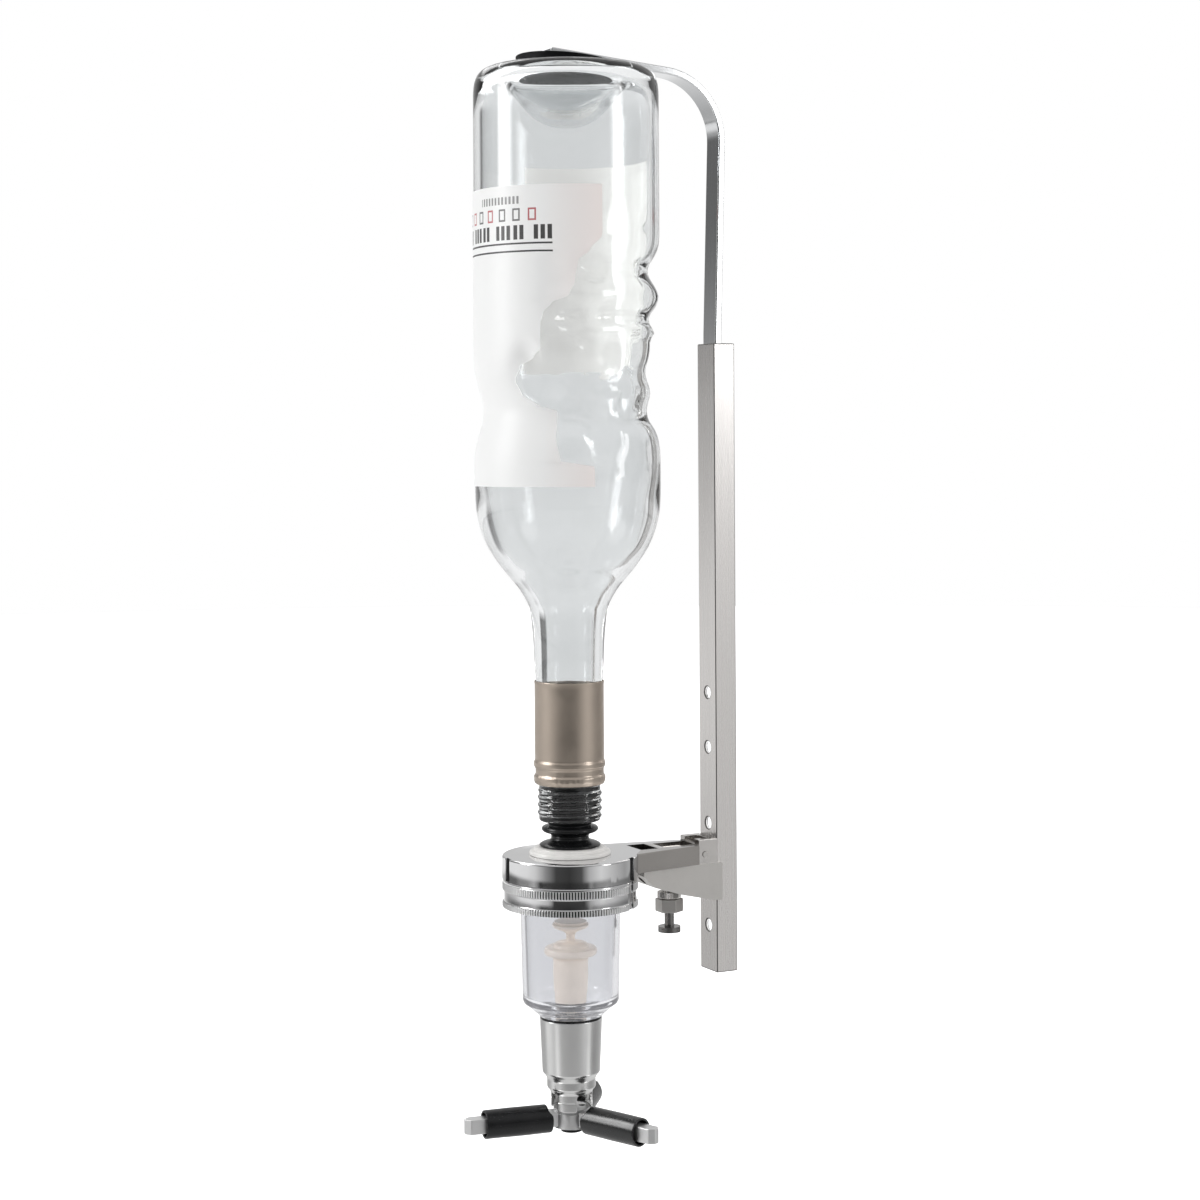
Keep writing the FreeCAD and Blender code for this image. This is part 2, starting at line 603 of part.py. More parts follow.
def make_stopper():
    """Heights run up from the underside of the low flange."""
    base = dims.low_flange_level
    top_flange = dims.top_flange_level - base
    plug = dims.mouth_level - base
    top = plug + dims.stopper_plug_height
    plug_radius = dims.bore_radius - dims.stopper_plug_gap
    rib_radius = dims.bore_radius - dims.stopper_rib_gap
    profile = [
        (dims.tube_radius, -dims.stopper_spigot_length),
        (dims.stopper_neck_radius, -dims.stopper_spigot_length),
        (dims.stopper_neck_radius, ZERO), (dims.low_flange_radius, ZERO),
        (dims.low_flange_radius, dims.low_flange_thickness),
        (dims.stopper_neck_radius, dims.low_flange_thickness),
        (dims.stopper_neck_radius, top_flange), (dims.top_flange_radius, top_flange),
        (dims.top_flange_radius, top_flange + dims.top_flange_thickness),
        (plug_radius, top_flange + dims.top_flange_thickness)]
    for rib in range(1, 4):
        level = plug + dims.stopper_rib_pitch * rib
        profile += [
            (plug_radius, level),
            (rib_radius, level + dims.stopper_rib_width / 2),
            (plug_radius, level + dims.stopper_rib_width)]
    profile += [(dims.stopper_neck_radius, top), (dims.tube_radius, top)]
    stopper = Piece("stopper")
    stopper.turn(profile)
    stopper.place(forward=dims.axis_offset, level=base)

    tube = Piece("inlet_tube")
    foot = dims.collar_top - dims.collar_roof
    tube.turn(ring_outline(dims.tube_radius - dims.tube_wall, dims.tube_radius, ZERO,
                           dims.tube_top - foot))
    tube.place(forward=dims.axis_offset, level=foot)


# ---------------------------------------------------------------- collar, arm and bracket

def make_seal_washer():
    washer = Piece("seal_washer")
    top = dims.low_flange_level - dims.collar_top
    washer.turn([
        (dims.stopper_neck_radius, ZERO), (dims.seal_radius, ZERO),
        (dims.seal_radius, dims.seal_base_thickness),
        (dims.seal_tier_radius, dims.seal_base_thickness), (dims.seal_tier_radius, top),
        (dims.stopper_neck_radius, top)])
    washer.place(forward=dims.axis_offset, level=dims.collar_top)


head_thread_radius = dims.chamber_top_radius + dims.chamber_flange_width
clamp_bore = head_thread_radius + dims.running_gap
collar_radius = clamp_bore + dims.clamp_wall
holder_width = rail_width + dims.gusset_cheek * 2
collar_bottom = dims.collar_top - dims.collar_height
holder_front = rail_depth + dims.holder_depth
arm_bottom = dims.collar_top - dims.arm_thickness


def cut_index(piece, turn):
    """An upright index groove in the rim of a ring, as seen from above at one angle."""
    near, far = collar_radius - dims.index_depth, collar_radius * 2
    half = dims.index_width / 2
    corners = [(near, -half), (far, -half), (far, half), (near, half)]
    piece.pocket(piece.outline("XY_Plane", [
        (along * cosine(turn) - aside * sine(turn), along * sine(turn) + aside * cosine(turn))
        for along, aside in corners]), reverse=True)


def make_bracket_arm():
    """The collar and its arm are one casting. Its own base is the collar's lower edge."""
    casting = Piece("bracket_ring_arm")
    height = dims.collar_height
    reach = dims.axis_offset - holder_front
    half_end = dims.arm_end_width / 2
    half_root = dims.arm_root_width / 2
    root = collar_radius - dims.arm_root_inset
    window_start = collar_radius + dims.arm_window_margin
    window_end = window_start + dims.arm_window_length
    low = height - dims.arm_thickness
    casting.pad(casting.circle("XY_Plane", collar_radius), height)
    casting.soften(dims.collar_edge, circle_at(collar_radius, height))
    casting.pad(casting.outline("XY_Plane", [
        (-half_root, root), (half_root, root),
        (half_end, reach), (-half_end, reach)], lift=low), dims.arm_thickness)
    tongue = dims.tongue_width / 2
    casting.pad(casting.outline("XY_Plane", box_outline(
        -tongue, tongue, reach, reach + dims.tongue_length), lift=low), dims.arm_thickness)
    casting.pocket(casting.circle("XY_Plane", collar_radius - dims.collar_wall,
                                  lift=height - dims.collar_roof))
    casting.pocket(casting.circle("XY_Plane", dims.stopper_neck_radius + dims.head_gap),
                   reverse=True)
    window = dims.arm_window_width / 2
    casting.pocket(casting.outline("XY_Plane", box_outline(
        -window, window, window_start, window_end)), reverse=True)
    channel = dims.arm_channel_width / 2
    casting.pocket(casting.outline("XY_Plane", box_outline(
        -channel, channel, window_end + dims.arm_web, reach), lift=height),
        dims.arm_channel_depth)
    casting.pocket(casting.circle("XY_Plane", dims.plunger_radius + dims.head_gap, ZERO,
                                  dims.axis_offset - dims.plunger_offset, lift=low),
                   dims.plunger_tip_level - arm_bottom + dims.head_gap, reverse=True)
    casting.pocket(casting.circle("YZ_Plane", dims.hook_pin_radius,
                                  dims.axis_offset - hook_pin_offset,
                                  dims.hook_pin_level - collar_bottom), both_ways=True)
    for turn in (dims.right_index_turn, dims.left_index_turn):
        cut_index(casting, turn)
    casting.place(forward=dims.axis_offset, level=collar_bottom)


hook_pin_offset = holder_front - dims.tongue_length / 2


def make_holder():
    block = Piece("holder_block")
    half = holder_width / 2
    height = dims.arm_thickness + dims.holder_rise
    slot = dims.tongue_width / 2 + dims.tongue_gap
    block.pad(block.outline("XY_Plane", box_outline(-half, half, ZERO, dims.holder_depth)),
              height)
    block.pocket(block.outline("XY_Plane", box_outline(
        -slot, slot, ZERO, dims.tongue_length + dims.tongue_gap)), reverse=True)
    block.pocket(block.circle("YZ_Plane", dims.hook_pin_radius, dims.tongue_length / 2,
                              dims.hook_pin_level - arm_bottom), both_ways=True)
    block.pocket(block.circle("XZ_Plane", dims.bracket_screw_radius, ZERO,
                              dims.upper_screw_level - arm_bottom), both_ways=True)
    block.place(forward=holder_front, level=arm_bottom)

    pin = Piece("hook_pin")
    pin.pad(pin.circle("YZ_Plane", dims.hook_pin_radius),
            holder_width + dims.hook_pin_stand * 2, both_ways=True)
    pin.place(forward=hook_pin_offset, level=dims.hook_pin_level)


gusset_front = dims.axis_offset - collar_radius - dims.gusset_margin
gusset_nose = gusset_front - dims.gusset_toe


def make_gusset():
    """A cast bracket, hollow between its cheeks, that laps over the rail's sides."""
    gusset = Piece("gusset_bracket")
    back = -(rail_depth - dims.gusset_lap)
    rail_face = -rail_depth
    wall = dims.gusset_wall
    floor = dims.gusset_floor_level + dims.gusset_floor
    gusset.pad(gusset.outline("YZ_Plane", [
        (-gusset_front, arm_bottom), (-gusset_front, arm_bottom - wall * 2),
        (-gusset_nose, dims.gusset_nose_level),
        (-dims.gusset_floor_front, dims.gusset_floor_level),
        (rail_face - wall, dims.gusset_back_level), (back, dims.gusset_back_level),
        (back, arm_bottom)]), holder_width, both_ways=True)
    inner = holder_width - wall * 2
    gusset.pocket(gusset.outline("YZ_Plane", [
        (-gusset_nose, arm_bottom), (-gusset_nose, arm_bottom - wall * 2),
        (-(dims.plunger_offset + dims.bushing_radius * 2), floor),
        (rail_face - wall * 2, floor), (rail_face - wall * 2, arm_bottom)]),
        inner, both_ways=True)
    lap = rail_width / 2 + dims.gusset_lap_gap
    gusset.pocket(gusset.outline("XY_Plane", box_outline(-lap, lap, rail_face, ZERO)),
                  both_ways=True)
    gusset.pocket(gusset.circle("XY_Plane", dims.bushing_radius, ZERO, -dims.plunger_offset),
                  both_ways=True)
    gusset.pocket(gusset.circle("XZ_Plane", dims.bracket_screw_radius, ZERO,
                                dims.lower_screw_level), both_ways=True)
    gusset.place()


def make_bracket_screws():
    """One screw into the holder block and one into the gusset, heads inside the rail."""
    screws = Piece("bracket_screws")
    inside = -rail_inner_front
    lengths = ((dims.upper_screw_level, dims.rail_wall + dims.holder_depth
                - dims.tongue_length - dims.tongue_gap * 2),
               (dims.lower_screw_level, dims.rail_wall + dims.gusset_wall * 2))
    for level, length in lengths:
        screws.pad(screws.circle("XZ_Plane", dims.bracket_screw_radius, ZERO, level,
                                 lift=-inside), length)
        screws.pad(screws.circle("XZ_Plane", dims.bracket_screw_head_radius, ZERO, level,
                                 lift=-inside - dims.bracket_screw_head_height),
                   dims.bracket_screw_head_height)
    screws.place()


def make_lock_plunger():
    bushing = Piece("lock_bushing")
    height = dims.bushing_top - dims.bushing_shoulder
    hole = dims.plunger_radius + dims.head_gap
    bushing.turn([
        (dims.bushing_bore, ZERO), (dims.bushing_radius, ZERO), (dims.bushing_radius, height),
        (hole, height), (hole, height - dims.nut_floor),
        (dims.bushing_bore, height - dims.nut_floor)])
    bushing.place(forward=dims.plunger_offset, level=dims.bushing_shoulder)

    nut = Piece("lock_nut")
    across = dims.nut_across_flats / 2
    corner = across / cosine(as_size(30))
    nut.pad(nut.outline("XY_Plane", [
        (corner, ZERO), (corner / 2, across), (-corner / 2, across), (-corner, ZERO),
        (-corner / 2, -across), (corner / 2, -across)]), dims.nut_height)
    nut.pocket(nut.circle("XY_Plane", dims.bushing_bore, lift=dims.nut_floor), reverse=True)
    nut.pocket(nut.circle("XY_Plane", dims.plunger_radius + dims.head_gap), reverse=True)
    nut.place(forward=dims.plunger_offset, level=dims.bushing_shoulder - dims.nut_height)

    plunger = Piece("lock_plunger")
    foot = dims.knob_level + dims.knob_thickness / 2
    collar = dims.plunger_collar_level - foot
    tip = dims.plunger_tip_level - foot
    plunger.turn([
        (ZERO, ZERO), (dims.plunger_radius, ZERO), (dims.plunger_radius, collar),
        (dims.plunger_collar_radius, collar),
        (dims.plunger_collar_radius, collar + dims.plunger_collar_height),
        (dims.plunger_radius, collar + dims.plunger_collar_height), (dims.plunger_radius, tip),
        (ZERO, tip)])
    plunger.place(forward=dims.plunger_offset, level=foot)

    knob = Piece("plunger_knob")
    hub_top = (dims.bushing_shoulder - dims.nut_height - dims.knob_gap) - dims.knob_level
    knob.turn([
        (ZERO, ZERO), (dims.knob_radius, ZERO), (dims.knob_radius, dims.knob_thickness),
        (dims.knob_hub_radius, dims.knob_thickness), (dims.knob_hub_radius, hub_top),
        (dims.plunger_radius, hub_top), (dims.plunger_radius, dims.knob_thickness / 2),
        (ZERO, dims.knob_thickness / 2)])
    knob.place(forward=dims.plunger_offset, level=dims.knob_level)

    seat = dims.bushing_shoulder - dims.nut_height + dims.nut_floor
    coil_spring("plunger_spring", dims.plunger_coil_radius, dims.plunger_wire_radius,
                dims.plunger_coils, seat, dims.plunger_collar_level, dims.plunger_offset)


def coil_spring(label, coil, wire, coils, bottom, top, forward):
    """A round-wire compression spring between two seats."""
    spring = Piece(label)
    sketch = spring.circle("XZ_Plane", wire, coil, wire)
    helix = spring.feature("PartDesign::AdditiveHelix", Profile=sketch,
                           ReferenceAxis=(sketch, ["V_Axis"]), Mode="height-turns-angle")
    bind(helix, "Height", top - bottom - wire * 2)
    bind(helix, "Turns", coils)
    spring.place(forward=forward, level=bottom)


# ---------------------------------------------------------------- head, clamp and chamber

clamp_top = collar_bottom - dims.clamp_gap
clamp_bottom = clamp_top - dims.clamp_height
flange_bottom = clamp_bottom + dims.clamp_lip + dims.running_gap
flange_top = flange_bottom + dims.chamber_flange_thickness
head_bottom = flange_top + dims.gasket_thickness
head_top = dims.collar_top - dims.collar_roof
seal_top = dims.cone_top + dims.cone_seal_thickness
valve_seat = seal_top + dims.lever_travel + dims.running_gap


def make_head():
    """The chamber head: it seats in the collar and carries the clamp ring's thread."""
    head = Piece("chamber_head")
    seat = collar_radius - dims.collar_wall - dims.head_gap
    head.turn([
        (dims.tube_radius, head_top - valve_seat), (seat, head_top - valve_seat),
        (seat, collar_bottom - valve_seat), (head_thread_radius, collar_bottom - valve_seat),
        (head_thread_radius, head_bottom - valve_seat),
        (dims.head_seat_radius, head_bottom - valve_seat), (dims.head_seat_radius, ZERO),
        (dims.head_bore, ZERO), (dims.head_bore, head_top - dims.head_roof - valve_seat),
        (dims.tube_radius, head_top - dims.head_roof - valve_seat)])
    head.pocket(head.circle("XY_Plane", dims.stopper_neck_radius, lift=head_top - valve_seat),
                dims.stopper_spigot_length - dims.collar_roof - (
                    dims.low_flange_level - dims.collar_top) + dims.head_gap)
    head.place(forward=dims.axis_offset, level=valve_seat)


def make_clamp_ring():
    ring = Piece("knurled_ring")
    top = dims.clamp_height
    radius = collar_radius
    waist = radius - dims.clamp_waist_depth
    band = dims.clamp_band
    ring.turn([
        (dims.chamber_top_radius + dims.running_gap, ZERO), (radius, ZERO), (radius, band),
        (waist, band), (waist, top - band), (radius, top - band), (radius, top),
        (clamp_bore, top), (clamp_bore, dims.clamp_lip),
        (dims.chamber_top_radius + dims.running_gap, dims.clamp_lip)])
    cut_index(ring, dims.right_index_turn)
    ring.place(forward=dims.axis_offset, level=clamp_bottom)

    gasket = Piece("chamber_gasket")
    gasket.turn(ring_outline(dims.chamber_top_radius - dims.chamber_wall,
                             head_thread_radius, ZERO, dims.gasket_thickness))
    gasket.place(forward=dims.axis_offset, level=flange_top)


def make_chamber():
    """A clear cup, drawn down to the spout; heights run from its underside."""
    chamber = Piece("measure_chamber")
    top = flange_top - dims.chamber_bottom
    flange = flange_bottom - dims.chamber_bottom
    corner = dims.chamber_corner_level - dims.chamber_bottom
    wall = dims.chamber_wall
    hole = dims.spigot_radius + dims.spigot_gap
    chamber.turn([
        (hole, ZERO), (dims.chamber_foot_radius, ZERO), (dims.chamber_bottom_radius, corner),
        (dims.chamber_top_radius, flange), (head_thread_radius, flange),
        (head_thread_radius, top), (dims.chamber_top_radius - wall, top),
        (dims.chamber_bottom_radius - wall, corner + wall / 2),
        (dims.chamber_foot_radius, dims.chamber_floor), (hole, dims.chamber_floor)])
    chamber.place(forward=dims.axis_offset, level=dims.chamber_bottom)


spigot_top = dims.chamber_bottom + dims.chamber_floor
barrel_top = dims.chamber_bottom - dims.barrel_seal_thickness
outlet_valve_bottom = spigot_top + dims.valve_lift_gap
outlet_valve_top = outlet_valve_bottom + dims.outlet_valve_thickness


def make_valve_sleeve():
    """A guide tube on the chamber's floor with ports at its foot."""
    sleeve = Piece("valve_sleeve")
    height = dims.sleeve_top - spigot_top
    bore = dims.sleeve_radius - dims.sleeve_wall
    roof = height - dims.sleeve_roof
    hole = dims.stem_radius + dims.valve_lift_gap
    sleeve.turn([(bore, ZERO), (dims.sleeve_radius, ZERO), (dims.sleeve_radius, height),
                 (hole, height), (hole, roof), (bore, roof)])
    port = dims.sleeve_port_width / 2
    sleeve.pocket(sleeve.outline("XZ_Plane", box_outline(
        -port, port, dims.sleeve_roof, dims.sleeve_roof + dims.sleeve_port_height)))
    sleeve.repeat(LEVER_COUNT)
    sleeve.place(forward=dims.axis_offset, level=spigot_top)


def make_valves():
    """Everything on the stem that rises with the levers."""
    upper = Piece("upper_valve")
    base = dims.dome_top - dims.dome_thickness
    cone_foot = dims.cone_top - dims.cone_height
    upper.turn([
        (dims.stem_radius, ZERO), (dims.dome_radius, ZERO), (dims.dome_radius, dims.dome_edge),
        (dims.dome_radius * 0.62, dims.dome_thickness),
        (dims.valve_neck_radius, dims.dome_thickness),
        (dims.valve_neck_radius, cone_foot - base),
        (dims.cone_radius, dims.cone_top - base - dims.dome_edge),
        (dims.cone_radius, dims.cone_top - base), (ZERO, dims.cone_top - base),
        (ZERO, dims.dome_thickness), (dims.stem_radius, dims.dome_thickness)])
    upper.place(forward=dims.axis_offset, level=base)

    seal = Piece("upper_valve_seal")
    seal.pad(seal.circle("XY_Plane", dims.cone_radius - dims.cone_seal_thickness),
             dims.cone_seal_thickness)
    seal.place(forward=dims.axis_offset, level=dims.cone_top)

    stem = Piece("valve_stem")
    stem.pad(stem.circle("XY_Plane", dims.stem_radius), dims.dome_top - hub_bottom)
    stem.place(forward=dims.axis_offset, level=hub_bottom)

    outlet = Piece("outlet_valve")
    outlet.turn(ring_outline(dims.stem_radius, dims.outlet_valve_radius, ZERO,
                             dims.outlet_valve_thickness))
    outlet.place(forward=dims.axis_offset, level=outlet_valve_bottom)

    coil_spring("return_spring", dims.spring_coil_radius, dims.spring_wire_radius,
                dims.spring_coils, outlet_valve_top, dims.sleeve_top - dims.sleeve_roof,
                dims.axis_offset)


# ---------------------------------------------------------------- spout and levers

lever_top = dims.lever_level + dims.lever_height / 2
hub_top = lever_top + dims.hub_roof
hub_bottom = lever_top - dims.lever_height - dims.hub_floor
slot_top = lever_top + dims.lever_travel + dims.slot_margin
skirt_roof = hub_top + dims.lever_travel + dims.slot_margin
skirt_bore = dims.hub_radius + dims.skirt_gap
skirt_radius = skirt_bore + dims.skirt_wall


def make_spout():
    barrel = Piece("spout_barrel")
    floor = dims.skirt_bottom
    tier_step = dims.barrel_low_radius - dims.tier_radius
    barrel.turn([
        (skirt_bore, ZERO), (skirt_radius, ZERO),
        (skirt_radius, slot_top - floor),
        (dims.tier_radius, slot_top - floor), (dims.tier_radius, dims.tier_top - floor),
        (dims.barrel_low_radius - tier_step, dims.barrel_shoulder_level - tier_step - floor),
        (dims.barrel_low_radius, dims.barrel_shoulder_level - floor),
        (dims.barrel_top_radius, barrel_top - floor), (dims.spigot_radius, barrel_top - floor),
        (dims.spigot_radius, spigot_top - floor), (dims.outlet_radius, spigot_top - floor),
        (dims.outlet_radius, skirt_roof - floor), (skirt_bore, skirt_roof - floor)])
    half = dims.skirt_slot_width / 2
    shoulder = slot_top - floor - half / 2
    slot = barrel.outline("YZ_Plane", [
        (-half, -half), (half, -half), (half, shoulder), (half / 2, shoulder + half / 2),
        (-half / 2, shoulder + half / 2), (-half, shoulder)])
    barrel.pocket(slot, skirt_radius * 2, reverse=True)
    barrel.repeat(LEVER_COUNT)
    barrel.place(forward=dims.axis_offset, level=floor, turn=dims.lever_turn)

    seal = Piece("barrel_seal")
    seal.turn(ring_outline(dims.spigot_radius, dims.barrel_top_radius - dims.spigot_gap, ZERO,
                           dims.barrel_seal_thickness))
    seal.place(forward=dims.axis_offset, level=barrel_top)


def make_hub():
    """The lever hub: three pockets for the levers and three drains between them."""
    hub = Piece("lever_hub")
    base = hub_bottom
    groove = dims.hub_groove_level - base
    inner = dims.hub_radius - dims.hub_groove_depth
    hub.turn([
        (dims.stem_radius, ZERO), (dims.hub_radius, ZERO), (dims.hub_radius, groove),
        (inner, groove), (inner, groove + dims.hub_groove_height),
        (dims.hub_radius, groove + dims.hub_groove_height), (dims.hub_radius, hub_top - base),
        (dims.stem_radius, hub_top - base)])
    half = dims.lever_width / 2
    low = dims.lever_level - base - dims.lever_height / 2
    hub.pocket(hub.outline("YZ_Plane", box_outline(-half, half, low, low + dims.lever_height),
                           lift=dims.lever_root), reverse=True)
    hub.repeat(LEVER_COUNT)
    across = -dims.drain_offset
    hub.pocket(hub.circle("XY_Plane", dims.drain_radius, across, ZERO), reverse=True)
    hub.repeat(LEVER_COUNT)
    hub.place(forward=dims.axis_offset, level=base, turn=dims.lever_turn)

    tip = Piece("spout_tip")
    tip.turn(ring_outline(dims.tip_radius - dims.tip_wall, dims.tip_radius, ZERO,
                          dims.tip_height))
    tip.place(forward=dims.axis_offset, level=base - dims.tip_height)

    nut = Piece("stem_nut")
    nut.pad(nut.circle("XY_Plane", dims.stem_nut_radius), dims.stem_nut_height)
    nut.place(forward=dims.axis_offset, level=base - dims.stem_nut_height)


def make_levers():
    """Three push levers, each a square bar with chamfered end corners in a rubber grip."""
    half = dims.lever_width / 2
    low = -dims.lever_height / 2
    diagonal = square_root(dims.lever_width * dims.lever_width
                           + dims.lever_height * dims.lever_height)
    grip_bore = diagonal / 2 + dims.grip_slack
    for number in range(LEVER_COUNT):
        turn = dims.lever_turn + 360 / LEVER_COUNT * number
        bar = Piece(f"lever_bar_{number + 1}")
        bar.pad(bar.outline("YZ_Plane", box_outline(-half, half, low, -low),
                            lift=dims.lever_root), dims.lever_reach - dims.lever_root)
        bar.soften(dims.lever_chamfer, upright_at((dims.lever_reach, half),
                                                  (dims.lever_reach, -half)),
                   "PartDesign::Chamfer")
        bar.place(forward=dims.axis_offset, level=dims.lever_level, turn=turn)
        grip = Piece(f"lever_grip_{number + 1}")
        grip.pad(grip.circle("YZ_Plane", grip_bore + dims.grip_wall, lift=dims.grip_start),
                 dims.grip_end - dims.grip_start)
        grip.pocket(grip.circle("YZ_Plane", grip_bore, lift=dims.grip_start), reverse=True)
        grip.place(forward=dims.axis_offset, level=dims.lever_level, turn=turn)


def check_pieces():
    for thing in document.Objects:
        if "Invalid" in thing.State or "Error" in thing.State:
            raise RuntimeError(f"{thing.Label} failed: {thing.State}")
    for piece in pieces:
        if piece.Shape.isNull() or not piece.Shape.isValid():
            raise RuntimeError(f"{piece.Label} has no valid shape")


make_rail()
make_guide_block()
make_hold_down_arm()
make_pad()
make_bar_foot()
make_bottle()
make_labels()
make_neck_capsule()
make_stopper()
make_seal_washer()
make_bracket_arm()
make_holder()
make_gusset()
make_bracket_screws()
make_lock_plunger()
make_head()
make_clamp_ring()
make_chamber()
make_valve_sleeve()
make_valves()
make_spout()
make_hub()
make_levers()
document.recompute()
check_pieces()
os.makedirs("parts", exist_ok=True)
for piece in pieces:
    piece.Shape.exportStep(f"parts/{piece.Label}.step")
    print(f"{piece.Label}: {len(piece.Shape.Solids)} solid, {piece.Shape.Volume:.1f} mm3")
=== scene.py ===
# %% [markdown]
# # A wall-mounted spirit optic
# An upside-down bottle stands in a measuring chamber, a sprung arm holds it down, and a rail
# carries everything on the wall. The construction is loaded as a fixed frame of named parts.
# This lesson gives each part its finish, and models again the parts whose surface matters most.

# %% Load the frame
import json
import math
import bmesh
import bpy
from mathutils import Matrix, Vector, noise

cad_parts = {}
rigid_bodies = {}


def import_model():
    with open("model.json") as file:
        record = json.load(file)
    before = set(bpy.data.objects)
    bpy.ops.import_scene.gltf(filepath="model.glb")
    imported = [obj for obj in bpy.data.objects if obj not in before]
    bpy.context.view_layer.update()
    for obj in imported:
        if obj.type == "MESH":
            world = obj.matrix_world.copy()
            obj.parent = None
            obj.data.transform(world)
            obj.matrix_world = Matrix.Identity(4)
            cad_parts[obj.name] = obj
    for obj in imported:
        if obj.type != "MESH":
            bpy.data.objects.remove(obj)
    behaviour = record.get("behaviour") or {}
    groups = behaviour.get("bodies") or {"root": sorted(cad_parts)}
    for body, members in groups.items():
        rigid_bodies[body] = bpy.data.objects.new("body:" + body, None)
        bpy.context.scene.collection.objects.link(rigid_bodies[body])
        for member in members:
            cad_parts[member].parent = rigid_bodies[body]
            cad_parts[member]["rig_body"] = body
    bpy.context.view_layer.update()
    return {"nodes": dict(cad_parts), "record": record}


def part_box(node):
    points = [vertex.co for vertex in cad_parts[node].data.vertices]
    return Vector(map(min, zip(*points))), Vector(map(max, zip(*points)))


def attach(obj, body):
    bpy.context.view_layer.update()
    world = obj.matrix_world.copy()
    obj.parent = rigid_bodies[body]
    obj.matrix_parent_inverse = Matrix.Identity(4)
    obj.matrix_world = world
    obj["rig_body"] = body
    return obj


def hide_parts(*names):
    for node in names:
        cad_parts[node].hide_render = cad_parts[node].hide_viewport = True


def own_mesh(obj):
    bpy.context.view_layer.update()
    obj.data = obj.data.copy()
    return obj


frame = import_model()
nodes = frame["nodes"]
MM = 0.001


def put(name, data):
    """A new object in the scene."""
    thing = bpy.data.objects.new(name, data)
    bpy.context.scene.collection.objects.link(thing)
    return thing


def put_mesh(name, bm):
    """A new object in the scene from a bmesh, which is freed."""
    mesh = bpy.data.meshes.new(name)
    bm.to_mesh(mesh)
    bm.free()
    return put(name, mesh)


print("parts in the frame:", len(nodes))

# %% [markdown]
# ## Camera
# A product picture is taken with a long lens from about a metre away, so that the rail and the
# bottle stay upright. The camera looks level along a direction 27 degrees right of the object's
# side, and the lens is shifted instead of tilted, which keeps all upright lines parallel.

# %% Camera
AXIS = Vector((0, -75, 0))  # where the bottle's upright axis stands, in millimetres
CAMERA_TURN = 62.92  # degrees from the front of the wall
CAMERA_DISTANCE = 986.6  # from the bottle's axis
CAMERA_ASIDE = 13.2  # to the right of the line to the axis
CAMERA_LEVEL = 156.0
PICTURE_SIDE = 1200  # pixels
FOCAL_PIXELS = 2409.3
HORIZON_PIXEL = 439.2
CAMERA_ROLL = -0.32
SENSOR = 36.0

turn = math.radians(CAMERA_TURN)
towards_camera = Vector((math.sin(turn), -math.cos(turn), 0))
camera_right = Vector((math.cos(turn), math.sin(turn), 0))
camera_spot = AXIS + towards_camera * CAMERA_DISTANCE + camera_right * CAMERA_ASIDE
camera_spot.z = CAMERA_LEVEL
camera = put("camera", bpy.data.cameras.new("camera"))
bpy.context.scene.camera = camera
camera.data.sensor_width = SENSOR
camera.data.lens = SENSOR * FOCAL_PIXELS / PICTURE_SIDE
camera.data.shift_y = (HORIZON_PIXEL - PICTURE_SIDE / 2) / PICTURE_SIDE
camera.data.clip_start = 0.01
level_view = Matrix.Rotation(turn, 4, "Z") @ Matrix.Rotation(math.radians(90), 4, "X")
camera.matrix_world = (Matrix.Translation(camera_spot * MM) @ level_view
                       @ Matrix.Rotation(math.radians(CAMERA_ROLL), 4, "Z"))
print("lens in millimetres:", round(camera.data.lens, 1))

# %% [markdown]
# ## Shader maths
# A node tree is easier to read as sums. `Wire` wraps one socket, and plain operators on it add
# Math nodes. `Recipe` is a material in the making: one method adds any node, and the few
# patterns that many finishes share have short methods of their own.

# %% Wires and recipes
def operator(operation):
    """A method for Wire that writes one operator as one Math node."""
    return lambda self, other: self.math(operation, self, other)


class Wire:
    """One output socket, with arithmetic that adds Math nodes."""

    def __init__(self, recipe, socket):
        self.recipe = recipe
        self.socket = socket

    def math(self, operation, *values):
        return self.recipe.node("Math", values, operation=operation)

    __add__ = operator("ADD")
    __sub__ = operator("SUBTRACT")
    __mul__ = operator("MULTIPLY")
    __truediv__ = operator("DIVIDE")
    __gt__ = operator("GREATER_THAN")
    __lt__ = operator("LESS_THAN")

    def __rsub__(self, other):
        return self.math("SUBTRACT", other, self)

    def part(self):
        return self.math("FRACT", self)

    def whole(self):
        return self.math("FLOOR", self)


